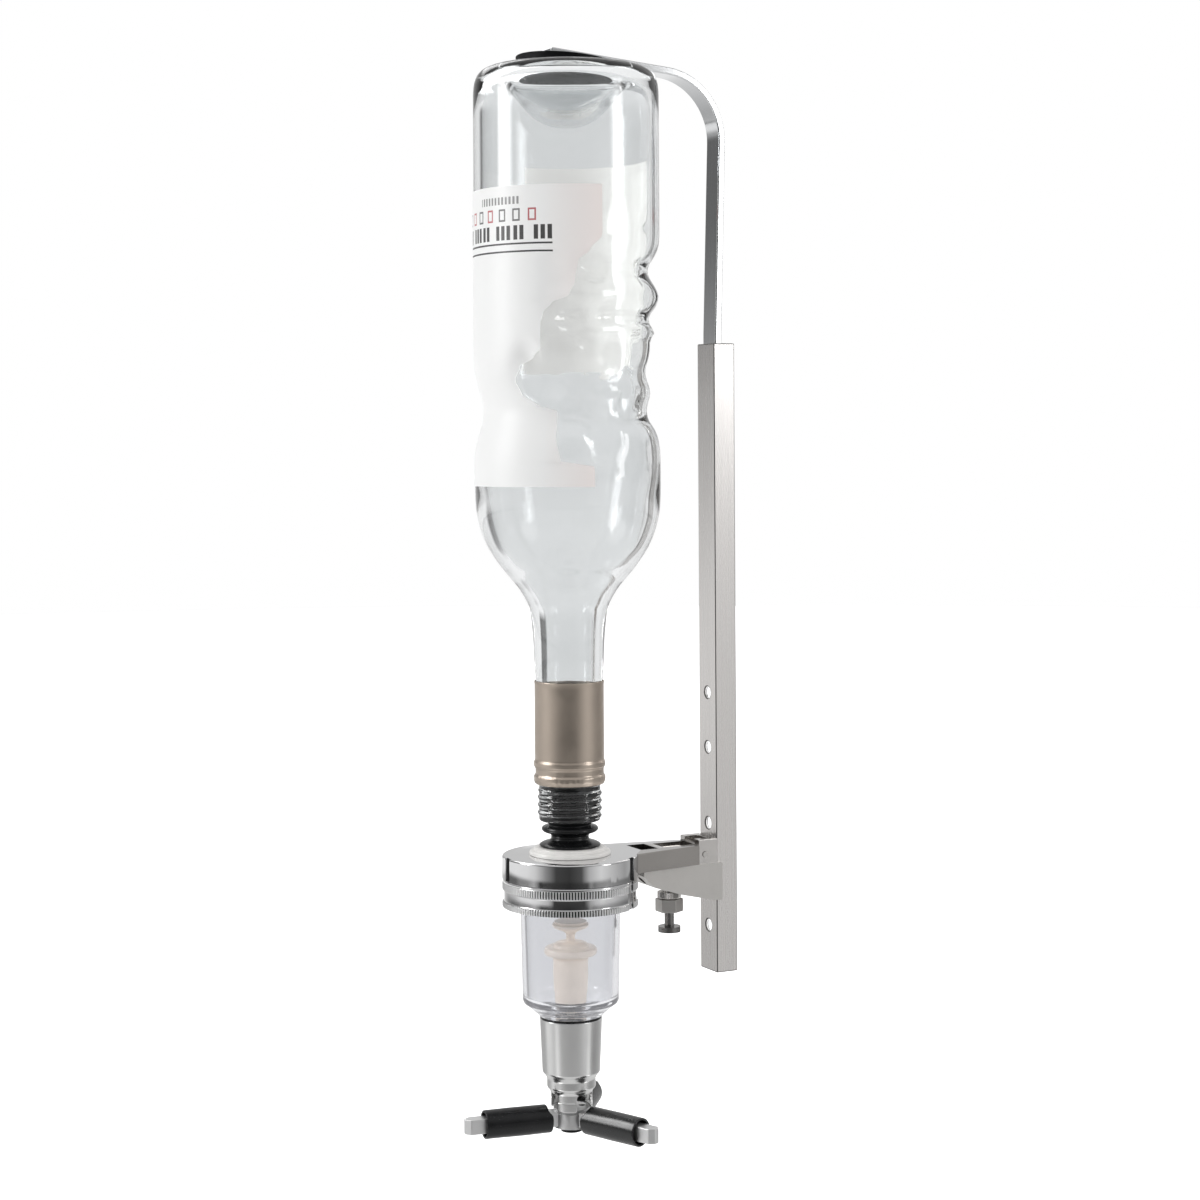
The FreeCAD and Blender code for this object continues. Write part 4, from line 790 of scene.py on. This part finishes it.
def make_label(name, node, left, right_at, low, high, finish_name):
    """A paper sheet from the polar angle left to the one that right_at gives at each level."""
    widest = math.radians(max(right_at(low), right_at(high)) - left) * BODY_RADIUS
    columns = int(widest / LABEL_TILE)
    rows = int((high - low) / LABEL_ROW)
    bm = bmesh.new()
    bmesh.ops.create_grid(bm, x_segments=columns, y_segments=rows, size=0.5)
    uv = bm.loops.layers.uv.new("paper")
    spots = {}
    for vertex in bm.verts:
        level = low + (vertex.co.y + 0.5) * (high - low)
        angle = left + (vertex.co.x + 0.5) * (right_at(level) - left)
        spots[vertex] = math.radians(angle - left) * BODY_RADIUS, level - low
        radius = BODY_RADIUS - press_depth(angle, level) + LABEL_LIFT
        vertex.co = Vector((radius, 0, level))
        vertex.co.rotate(Matrix.Rotation(math.radians(angle), 3, "Z"))
    for face in bm.faces:
        for loop in face.loops:
            loop[uv].uv = spots[loop.vert]
    bm.normal_update()
    bm.faces.ensure_lookup_table()
    if facing_out(bm.faces[len(bm.faces) // 2]) < 0:
        bmesh.ops.reverse_faces(bm, faces=bm.faces)
    bmesh.ops.solidify(bm, geom=bm.faces[:], thickness=-PAPER)
    bmesh.ops.recalc_face_normals(bm, faces=bm.faces)
    for face in bm.faces:
        if facing_out(face) < 0:
            face.material_index = 1
    label = make(name, bm, node, sharp=50, finish_name=finish_name, flat=False)
    label.data.materials.append(finishes["plain_paper"])


print("rows of the front label:", int((FRONT_LEVELS[1] - FRONT_LEVELS[0]) / LABEL_ROW))

# %% [markdown]
# The UV map is in millimetres, so print is arithmetic: a mark is where the place across and the
# level up the sheet both lie between two numbers, and a fraction repeats it along the row.

# %% Paper and print
BAR_PITCH = 9.0
MARK_PITCH = 7.0
PRINT_START = 3.2  # millimetres from the label's left edge
BARS = [(0.5, 2.3), (3.3, 5.1), (6.1, 7.9)]  # every second group has the third bar
BAR_LEVELS = (98.0, 103.7)
RULES = [(93.0, 93.7), (96.1, 96.8)]
MARK = ((1.0, 4.5), (105.4, 110.4))  # sides and levels, then those of its hollow
HOLLOW = ((1.7, 3.8), (106.1, 109.7))
DASH_LEVELS = (112.2, 115.2)
DASH_PITCH = 1.9
TEXT_PITCH = 3.6  # the back label's lines
TEXT_CELL = 1.5
TEXT_SIDES = (8.0, 58.0)


def between(value, span):
    return (value > span[0]) * (value < span[1])


def either(*values):
    """The clamped sum of masks."""
    return values[0].recipe.node("Clamp", [sum(values[1:], values[0])])


def paper_sheet(name):
    """A recipe for paper, with the place across and up the sheet and the paper's fibres."""
    recipe = finish(name)
    flat = recipe.place(source="UV")
    u, v, _ = recipe.axes(flat)
    return recipe, u, v, recipe.grain(flat, 1.1, 5.0, 0.7)


def print_rows(recipe, u, v):
    """Generic print: heavy bars in pairs and threes, hollow marks and fine dashes, in three rows."""
    u = u - PRINT_START
    place = (u / BAR_PITCH).part() * BAR_PITCH
    odd = (u / (2 * BAR_PITCH)).part() > 0.5
    first, second, third = (between(place, bar) for bar in BARS)
    bars = either(first, second, third * odd) * between(v, BAR_LEVELS)
    heavy = either(bars, either(*(between(v, rule) for rule in RULES))) * between(u, (0.0, 53.0))
    spot = (u / MARK_PITCH).part() * MARK_PITCH
    shape, hollow = (between(spot, sides) * between(v, levels) for sides, levels in (MARK, HOLLOW))
    marks = shape * (1 - hollow) * between(u, (0.0, 49.0))
    tone = recipe.node("TexWhiteNoise", {"W": (u / MARK_PITCH).whole() + 7}, noise_dimensions="1D")
    dashes = ((u / DASH_PITCH).part() < 0.55) * between(v, DASH_LEVELS) * between(u, (17.6, 39.0))
    return heavy, marks, dashes, tone


recipe, u, v, fibres = paper_sheet("front_paper")
heavy, marks, dashes, tone = print_rows(recipe, u, v)
# Painted shade: the paper turns pinkish grey towards the label's right side, which faces away from the
# light.
paper = recipe.blend(recipe.span(u, 52, 76), rgb(0.96, 0.965, 0.96), rgb(0.96, 0.88, 0.855))
paper = recipe.blend(fibres * 0.08, paper, grey(0.80))
red_or_black = recipe.blend(tone > 0.6, grey(0.03), rgb(0.45, 0.03, 0.04))
colour = recipe.blend(heavy * 0.95, paper, grey(0.025))
colour = recipe.blend(marks * 0.85, colour, red_or_black)
colour = recipe.blend(dashes * 0.75, colour, grey(0.08))
recipe.show(recipe.skin(Base_Color=colour, Roughness=0.42, Normal=recipe.relief(fibres, 0.015)))
recipe, u, v, fibres = paper_sheet("back_paper")
line = (v / TEXT_PITCH).part() < 0.34
spot = recipe.node("CombineXYZ", [(u / TEXT_CELL).whole(), (v / TEXT_PITCH).whole(), 0.0])
cell = recipe.node("TexWhiteNoise", [spot], noise_dimensions="2D")
marks = line * (cell > 0.22) * between(v, (14.0, 62.0)) * between(u, TEXT_SIDES)
band = between(v, (68.0, 74.0)) * between(u, TEXT_SIDES)
colour = recipe.blend(fibres * 0.12, rgb(0.86, 0.85, 0.815), rgb(0.74, 0.72, 0.67))
colour = recipe.blend(marks * 0.55, colour, grey(0.16))
colour = recipe.blend(band * 0.85, colour, rgb(0.42, 0.10, 0.09))
recipe.show(recipe.skin(Base_Color=colour, Roughness=0.5, Normal=recipe.relief(fibres, 0.02)))
# The last is the unprinted side. Its glow is painted light, for the light from behind that shines through
# it, most on the side of the wall.
recipe = finish("plain_paper")
u, v, _ = recipe.axes(recipe.place(source="UV"))
fibres = recipe.grain(recipe.place(), 0.8, 5.0, 0.7)
colour = recipe.blend(fibres * 0.3, rgb(0.88, 0.87, 0.84), rgb(0.78, 0.76, 0.73))
glow = recipe.blend(recipe.span(u, 6, 46), rgb(1.0, 0.985, 0.95), rgb(0.74, 0.715, 0.695))
recipe.show(recipe.skin(Base_Color=colour, Roughness=0.7, Emission_Color=glow, Emission_Strength=0.85,
                        Normal=recipe.relief(fibres, 0.02)))
print("finishes so far:", len(finishes))

# %% [markdown]
# Both labels are placed by the polar angles of their sides, as one would measure on the bottle.

# %% Front and back label
FRONT_LEFT = -119.5
FRONT_EDGE = [  # level and polar angle along the right side, from the bottom up
    (137, -10), (145, -10), (147.5, -31), (157, -33.5), (167, -33.5), (170, -48), (174, -58),
    (179.5, -61.5), (185, -58), (189, -48), (192.5, -42.5), (201, -42.5), (206, -41), (210, -36),
    (213, -25), (219, -21), (227, -18.5), (231, -11.5), (237, -4.6), (257, -4.6)]
BACK_SIDES = (75.5, 183.5)
BACK_LEVELS = (183.7, 270.8)


def front_right_edge(level):
    """The front label's right side, cut back in soft steps round the grip."""
    for (low, first), (high, second) in zip(FRONT_EDGE, FRONT_EDGE[1:]):
        if low <= level <= high:
            return first + (second - first) * smooth_step((level - low) / (high - low))
    return FRONT_EDGE[-1][1]


make_label("front_label_paper", "front_label", FRONT_LEFT, front_right_edge, *FRONT_LEVELS, "front_paper")
make_label("back_label_paper", "back_label", BACK_SIDES[0], lambda level: BACK_SIDES[1], *BACK_LEVELS,
           "back_paper")

# %% [markdown]
# ## Neck capsule
# The capsule is thin metal foil, shrunk on the neck and rolled into two beads. Below the beads its
# cut edge is crumpled, so noise moves the lowest rows in and out.

# %% Neck capsule
CAPSULE = [
    (14.4, 57.3, 0.2), (14.2, 56), (14.2, 25.3, 0.4), (14.65, 24.3, 0.4), (14.65, 22.6, 0.4),
    (14.0, 21.8, 0.5), (14.0, 19.4, 0.4), (14.65, 18.6, 0.4), (14.65, 16.9, 0.4), (13.95, 15.4, 0.2),
    (13.5, 15.25), (13.86, 17.5), (13.9, 24), (14.02, 57.3)]
CRUMPLE_TOP = 21.5
CRUMPLE_DEPTH = 0.28
FOIL_RADII = (13.9, 14.7)  # the outer side of the foil starts here, and never passes the second
bm = split_rows(wire(CAPSULE), 1.6)
spin(bm, 180)
for vertex in bm.verts:
    radius, angle = polar(vertex)
    share = smooth_step((CRUMPLE_TOP - vertex.co.z) / 5)
    if radius > FOIL_RADII[0] and share > 0:
        ripple = noise.noise(Vector((angle / 5.0, vertex.co.z / 2.6, 0.3)))
        set_radius(vertex, min(radius + CRUMPLE_DEPTH * ripple * share, FOIL_RADII[1]))
make("neck_capsule_foil", bm, "neck_capsule", sharp=40)

# %% [markdown]
# ## Stopper and washer
# The rubber stopper squeezes into the mouth with a stack of soft ribs, then a waist between two
# flanges lets it bend. Below it lies a white washer in two tiers.

# %% Stopper and seal washer
RIB_LEVELS = [1.2 + 3.1 * i for i in range(5)]
RIB_RADIUS = 9.55
PLUG_RADIUS = 9.3
RIB_SHAPE = [(PLUG_RADIUS, 1.25), (RIB_RADIUS, 0.55), (RIB_RADIUS, -0.55), (PLUG_RADIUS, -1.25)]
RIBS = [(radius, level + rise, 0.3) for level in reversed(RIB_LEVELS) for radius, rise in RIB_SHAPE]
FLANGES = [
    (8.6, -1.6, 0.4), (11.2, -2.15, 0.5), (11.8, -3.3, 0.5), (10.8, -4.35, 0.5), (7.9, -5.0, 1.0),
    (7.6, -7.6, 1.2), (11.4, -8.65, 0.8), (12.7, -9.5, 0.4), (12.3, -10.12, 0.2), (7.5, -10.12),
    (7.5, -14.1), (3.5, -14.1)]
SEAL_WASHER = [
    (7.8, -10.3, 0.3), (13.2, -10.3, 0.3), (14.75, -10.6, 0.5), (14.75, -11.7, 0.4),
    (16.2, -11.85, 0.5), (16.65, -12.6, 0.4), (16.65, -13.55, 0.2), (7.8, -13.55)]
PRESSED_ABOVE = -1.2  # from this level up the stopper is pressed against the glass
stopper = make("stopper_rubber", turned([(3.5, 17.0), (7.6, 17.0, 0.6)] + RIBS + FLANGES), "stopper")
stopper.data.materials.append(finishes["pressed_rubber"])
for face in stopper.data.polygons:
    face.material_index = int(face.center.z > PRESSED_ABOVE * MM)
make("seal_washer_ring", turned(SEAL_WASHER), "seal_washer")

# %% [markdown]
# ## Knurled clamp ring
# The ring below the collar is turned by hand, so it has two bands of straight knurl round a
# smooth waist. The blank is spun with five columns for each tooth, and three of the five are
# pressed in, which gives real teeth from very few faces. The grooves get a near black metal as
# painted shade, and the crests a pale one as a painted highlight.

# %% Clamp ring
RING_TOP = -23.2
RING_BOTTOM = -34.5
RING_RADIUS = 27.85
LIP_PRESS = 0.35
UPPER_BAND = (-24.6, -27.3)
LOWER_BAND = (-32.3, -34.3)
WAIST_PRESS = 0.75
TEETH = 144
TOOTH_DEPTH = 0.6
COLUMNS_PER_TOOTH = 5
PRESSED_COLUMNS = 3
INDEX_TURN = 38  # polar angle of the flat that marks the ring's place
INDEX_HALF_WIDTH = 4.2
INDEX_PRESS = 1.1
RING_INSIDE = 27  # faces of a smaller radius stay as they are


def ring_corners():
    lip = RING_RADIUS - LIP_PRESS
    waist = RING_RADIUS - WAIST_PRESS
    corners = [(24.6, RING_TOP), (lip - 0.5, RING_TOP, 0.2), (lip, RING_TOP - 0.5, 0.2),
               (lip, UPPER_BAND[0] + 0.25, 0.1)]
    for top, bottom in (UPPER_BAND, LOWER_BAND):
        corners += [(RING_RADIUS, top, 0.15), (RING_RADIUS, bottom, 0.15)]
        if bottom == UPPER_BAND[1]:
            corners += [(waist, bottom - 0.45, 0.3), (waist, LOWER_BAND[0] + 0.45, 0.3)]
    return corners + [(RING_RADIUS - 0.35, RING_BOTTOM, 0.1), (21.6, RING_BOTTOM, 0.3),
                      (21.6, RING_BOTTOM + 2.3), (24.6, RING_BOTTOM + 2.3)]


columns = COLUMNS_PER_TOOTH * TEETH
bm = turned(ring_corners(), columns)
pressed = set()
banded = set()
for vertex in bm.verts:
    radius, angle = polar(vertex)
    column = round(angle / 360 * columns) % COLUMNS_PER_TOOTH
    in_band = any(low - 0.1 < vertex.co.z < high + 0.1 for high, low in (UPPER_BAND, LOWER_BAND))
    if radius < RING_INSIDE:
        continue
    if abs(turn_gap(angle, INDEX_TURN)) < INDEX_HALF_WIDTH:
        set_radius(vertex, RING_RADIUS - INDEX_PRESS)
    elif not in_band:
        continue
    elif column < PRESSED_COLUMNS and radius > RING_RADIUS - 0.3:
        set_radius(vertex, radius - TOOTH_DEPTH)
        pressed.add(vertex)
    else:
        banded.add(vertex)
# Faces in the grooves get the painted shade, the rest of the knurled bands the painted highlight.
for face in bm.faces:
    if sum(vertex in pressed for vertex in face.verts) > 2:
        face.material_index = 2
    elif all(vertex in banded or vertex in pressed for vertex in face.verts):
        face.material_index = 1
clamp_ring = make("clamp_ring_knurled", bm, "knurled_ring", sharp=28)
clamp_ring.data.materials.append(finishes["knurl_crest_painted_highlight"])
clamp_ring.data.materials.append(finishes["knurl_gap_painted_shade"])

# %% [markdown]
# ## Measuring chamber
# The chamber is injection-moulded clear plastic. Its wall is open at the top under the clamp
# ring, and steps in to a thick foot. A closed section gives the wall its real thickness.

# %% Chamber
CHAMBER = [
    (23.5, -29.85, 0.2), (23.5, -31.8, 0.2), (20.7, -32.0, 0.4), (20.55, -34.4), (19.72, -73.6, 0.9),
    (15.2, -77.2, 1.2), (13.0, -79.4, 0.3), (8.5, -79.4), (8.5, -76.0, 0.4), (12.4, -75.6, 0.8),
    (17.2, -71.8, 1.4), (18.3, -34.4), (18.4, -29.85)]
make("chamber_wall", turned(CHAMBER, 160), "measure_chamber", sharp=35)

# %% [markdown]
# ## Valves
# One stem carries two valves. The upper one is a cup that closes the inlet when the levers rise,
# and its stepped cap keeps air and spirit apart. The sleeve below it guides the stem, and lets
# the measure out through two ports near its foot.

# %% Upper valve and sleeve
UPPER_VALVE = [
    (1.72, -41.85), (7.2, -41.85, 0.3), (7.6, -42.3, 0.3), (7.1, -43.5, 0.6), (4.2, -44.7, 1.0),
    (1.95, -45.9, 0.8), (1.78, -47.4), (1.95, -49.0, 0.6), (5.4, -49.4, 0.9), (7.2, -50.3, 0.6),
    (7.5, -51.3, 0.3), (10.2, -51.5, 0.5), (10.85, -52.3, 0.5), (10.85, -53.8, 0.4), (10.2, -54.62, 0.3),
    (1.72, -54.62)]
SLEEVE = [
    (1.85, -55.25), (7.1, -55.25, 0.3), (7.36, -56.2, 0.4), (7.15, -57.7, 0.4), (7.25, -62),
    (6.6, -74.2, 0.4), (6.4, -75.85), (5.2, -75.85), (5.5, -57.4, 0.5), (1.85, -57.4)]
PORT_TURNS = (63, -117)
PORT_BOX = ((6, 4, 6), (6.6, 0, -72.6), 0.8)  # size, middle, radius of the corners
make("upper_valve_cap", turned(UPPER_VALVE, 96), "upper_valve", sharp=40)

# %% [markdown]
# ## Spout barrel
# A chromed barrel carries the outlet. It tapers, steps to a smaller tier and ends in a skirt with
# three slots for the levers. The slots are cut with boxes by a Boolean modifier.

# %% Spout barrel
BARREL = [
    (8.3, -80.35), (12.8, -80.35, 0.35), (11.85, -102.4, 0.5), (10.9, -103.4, 0.3), (10.0, -105.0, 0.5),
    (10.0, -108.6, 0.5), (9.0, -109.6, 0.5), (8.6, -110.6, 0.4), (8.6, -113.6, 0.15),
    (8.35, -113.85, 0.1), (8.6, -114.1, 0.15), (8.6, -117.5, 0.3), (7.75, -117.5, 0.2), (7.75, -110.6),
    (8.3, -109.6)]
SLOT_BOX = ((8, 9.4, 12), (8.5, 0, -116.6), 1.4)
LEVER_TURNS = [22 + 120 * i for i in range(3)]


def carve(piece, sharp, turns, box):
    """Cuts a box out of the piece at each angle of turns and keeps the result as its mesh."""
    cutters = [cutting_box(*box, angle) for angle in turns]
    for cutter in cutters:
        cut = piece.modifiers.new("cut", "BOOLEAN")
        cut.object = cutter
        cut.operation = "DIFFERENCE"
        cut.solver = "EXACT"
    bpy.context.view_layer.update()
    carved = piece.evaluated_get(bpy.context.evaluated_depsgraph_get())
    mesh = bpy.data.meshes.new_from_object(carved)
    piece.modifiers.clear()
    mesh.name = piece.data.name + "_cut"
    mesh.set_sharp_from_angle(angle=math.radians(sharp))
    piece.data = mesh
    for cutter in cutters:
        bpy.data.objects.remove(cutter)


def cutting_box(size, middle, corner, angle):
    """A box to cut with, turned round the bottle's axis by angle in degrees."""
    bm = bmesh.new()
    bmesh.ops.create_cube(bm, size=1)
    bmesh.ops.scale(bm, vec=size, verts=bm.verts)
    level_edges = [e for e in bm.edges if abs(e.verts[0].co.z - e.verts[1].co.z) < 1e-6]
    bmesh.ops.bevel(bm, geom=level_edges, offset=corner, segments=4, profile=0.5, affect="EDGES",
                    material=-1)
    bmesh.ops.translate(bm, vec=middle, verts=bm.verts)
    rotate(bm, angle)
    bmesh.ops.translate(bm, vec=AXIS, verts=bm.verts)
    resize(bm, MM)
    return put_mesh("cutter", bm)


barrel = make("spout_barrel_chrome", turned(BARREL, 144), "spout_barrel", sharp=30,
              finish_name="soft_chrome")
carve(barrel, 30, LEVER_TURNS, SLOT_BOX)
soften(barrel, 0.12).harden_normals = False
keep_flat(barrel)

# %% [markdown]
# The sleeve's two ports are cut in the same way.

# %% Valve sleeve
sleeve = make("valve_sleeve_ported", turned(SLEEVE, 96), "valve_sleeve", sharp=35)
carve(sleeve, 35, PORT_TURNS, PORT_BOX)
keep_flat(sleeve)

# %% [markdown]
# ## Levers
# Each lever is a square bar with a chamfered end, and a rubber sleeve that was pushed over it. The
# sleeve is a soft tube: its ends are rounded and it swells a little in the middle. The end at the
# hub is cut at a slant, longest below, which leaves room for the barrel when the levers rise. One
# sleeve is the one that glasses are pushed against most, so it is worn smooth.

# %% Grips
LEVER_LEVEL = -121.0
GRIP_SPAN = (10.6, 37.6)
SLANT_REACH = 1.6  # how much further in the sleeve's underside starts
SLANT_LEVELS = (4.4, 1.5)
GRIP_RADIUS = 5.8
GRIP_BORE = 4.8
GRIP_LIMIT = 5.86
WORN_GRIP = 1


def make_grip(number, angle):
    start, end = GRIP_SPAN
    high, low = SLANT_LEVELS
    corners = [(GRIP_BORE, start + 0.5, 0.2), (GRIP_RADIUS - 0.1, start + 0.1, 0.7),
               (GRIP_RADIUS, (start + end) / 2),
               (GRIP_RADIUS - 0.1, end - 0.1, 0.7), (GRIP_BORE, end - 0.5, 0.2)]
    bm = split_rows(wire(corners), 3.0)
    spin(bm, 96)
    for vertex in bm.verts:
        radius, around = polar(vertex)
        wobble = noise.noise(Vector((math.radians(around) * 1.5, vertex.co.z / 9, number)))
        set_radius(vertex, min(radius * (1 + 0.012 * wobble), GRIP_LIMIT))
        near_hub = smooth_step((start + 3 - vertex.co.z) / 2)
        vertex.co.z -= SLANT_REACH * near_hub * smooth_step((high + vertex.co.x) / (high - low))
    rotate(bm, 90, "Y")
    bmesh.ops.translate(bm, vec=(0, 0, LEVER_LEVEL), verts=bm.verts)
    rotate(bm, angle)
    make(f"lever_grip_{number}_sleeve", bm, f"lever_grip_{number}", sharp=50,
         finish_name="worn_rubber" if number == WORN_GRIP else None)


for number, angle in enumerate(LEVER_TURNS, start=1):
    make_grip(number, angle)

# %% [markdown]
# ## Lock bushing
# The lock plunger slides in a bushing, and its rim below the bracket has a fine straight knurl.
# Every second column of the spun rim is pressed in.

# %% Knurled bushing
BUSHING_AXIS = Vector((0, -28.9, 0))
BUSHING = [
    (2.3, -35.95), (4.7, -35.95, 0.25), (4.95, -35.5, 0.2), (4.95, -33.2), (2.85, -33.2), (2.85, -27.1),
    (1.45, -27.1), (1.45, -28.2), (2.3, -28.2)]
BUSHING_COLUMNS = 72
BUSHING_PRESS = 0.3
BUSHING_RIM = 4.8  # only the rim has a larger radius
bushing = turned(BUSHING, BUSHING_COLUMNS)
for vertex in bushing.verts:
    radius, angle = polar(vertex)
    if radius > BUSHING_RIM and round(angle / 360 * BUSHING_COLUMNS) % 2:
        set_radius(vertex, radius - BUSHING_PRESS)
make("lock_bushing_knurled", bushing, "lock_bushing", at=BUSHING_AXIS, finish_name="nickel")

# %% [markdown]
# ## Springs
# A coil spring gets shorter when what it pushes moves. The frame's record names the two springs,
# the joint of each and the end that stays. A copy of each spring gets spring steel and a mesh of its own.

# %% Spring copies
def make_spring(node):
    spring = make(node + "_coil", merged_copy(node), node, at=Vector(), finish_name="spring_steel",
                  flat=False)
    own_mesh(spring)


for joint in frame["record"]["behaviour"]["joints"]:
    for entry in joint.get("deforming_nodes", []):
        make_spring(entry["node"])

# %% [markdown]
# ## Everything that keeps its own shape
# Flat sheet and block parts are right as they are. Their copies get softened edges, and every
# other node takes the finish of its slot.

# %% Finishes on the frame's own parts
keep_names = {name: part.data.materials[0].name for name, part in nodes.items()}
FAIR_COPIES = {  # node: width of the softened edges, and a finish where it isn't the slot's own
    "rail": (0.42, None), "guide_block": (0.3, None), "holder_block": (0.5, "nickel"),
    "gusset_bracket": (0.6, None), "hold_down_arm": (0.55, None), "bracket_ring_arm": (0.45, None),
    "lock_nut": (0.3, "satin_steel"), "lever_hub": (0.15, "plated_steel"),
    **{f"lever_bar_{number}": (0.35, "plated_steel") for number in (1, 2, 3)}}
OWN_FINISH = {
    "plunger_knob": "dark_nickel", "press_pad": "pressed_rubber", "lock_plunger": "nickel",
    "upper_valve_seal": "cream_plastic", "spout_tip": "black_rubber"}
ARM_START = 28.3  # this far from the bottle's axis the collar ends and its arm begins
INSIDE_AREA = 400  # square millimetres, more than any hole's wall
ROLLED = ("rail", "hold_down_arm")  # plain stock, whose edges can take their full rounding
fair = {}


def fair_copy(node, edge, finish_name):
    """A copy with softened edges, and without the edges inside flat faces."""
    bm = merged_copy(node)
    bmesh.ops.dissolve_limit(bm, angle_limit=math.radians(0.5), verts=bm.verts, edges=bm.edges)
    fair[node] = make(node + "_finished", bm, node, at=Vector(), finish_name=finish_name, flat=False)
    soften(fair[node], edge)


def second_finish(piece, finish_name, chosen):
    """Gives another finish to the faces for which chosen(centre in millimetres, face) is true."""
    piece.data.materials.append(finishes[finish_name])
    for face in piece.data.polygons:
        if chosen(face.center / MM, face):
            face.material_index = len(piece.data.materials) - 1


def on_arm(centre, face):
    return math.dist(centre[:2], AXIS[:2]) > ARM_START


def inside_rail(centre, face):
    low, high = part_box("rail")
    middle = (Vector(low) + Vector(high)) / 2 / MM
    inwards = Vector((middle.x - centre.x, middle.y - centre.y, 0)).dot(face.normal) > 0
    return inwards and face.area / MM ** 2 > INSIDE_AREA


for name, settings in FAIR_COPIES.items():
    fair_copy(name, *settings)
second_finish(fair["bracket_ring_arm"], "arm_nickel", on_arm)
# The rail's large inner faces get painted light, a pale glow for the white seen through its holes.
second_finish(fair["rail"], "rail_inside_painted_light", inside_rail)
for name in ROLLED:
    fair[name].modifiers["soft_edges"].use_clamp_overlap = False
fair["rail"].data.materials.append(finishes["painted_edge_shade"])
fair["rail"].modifiers["soft_edges"].material = 2  # the rail's sharp edges get a dark metal, a painted reflection of the dark room

# %% [markdown]
# At the end every node of the frame takes its own finish where one is listed, or else the finish its slot
# names.

for name, part in nodes.items():
    finish_name = OWN_FINISH.get(name, keep_names[name])
    if finish_name in finishes:
        part.data.materials[0] = finishes[finish_name]
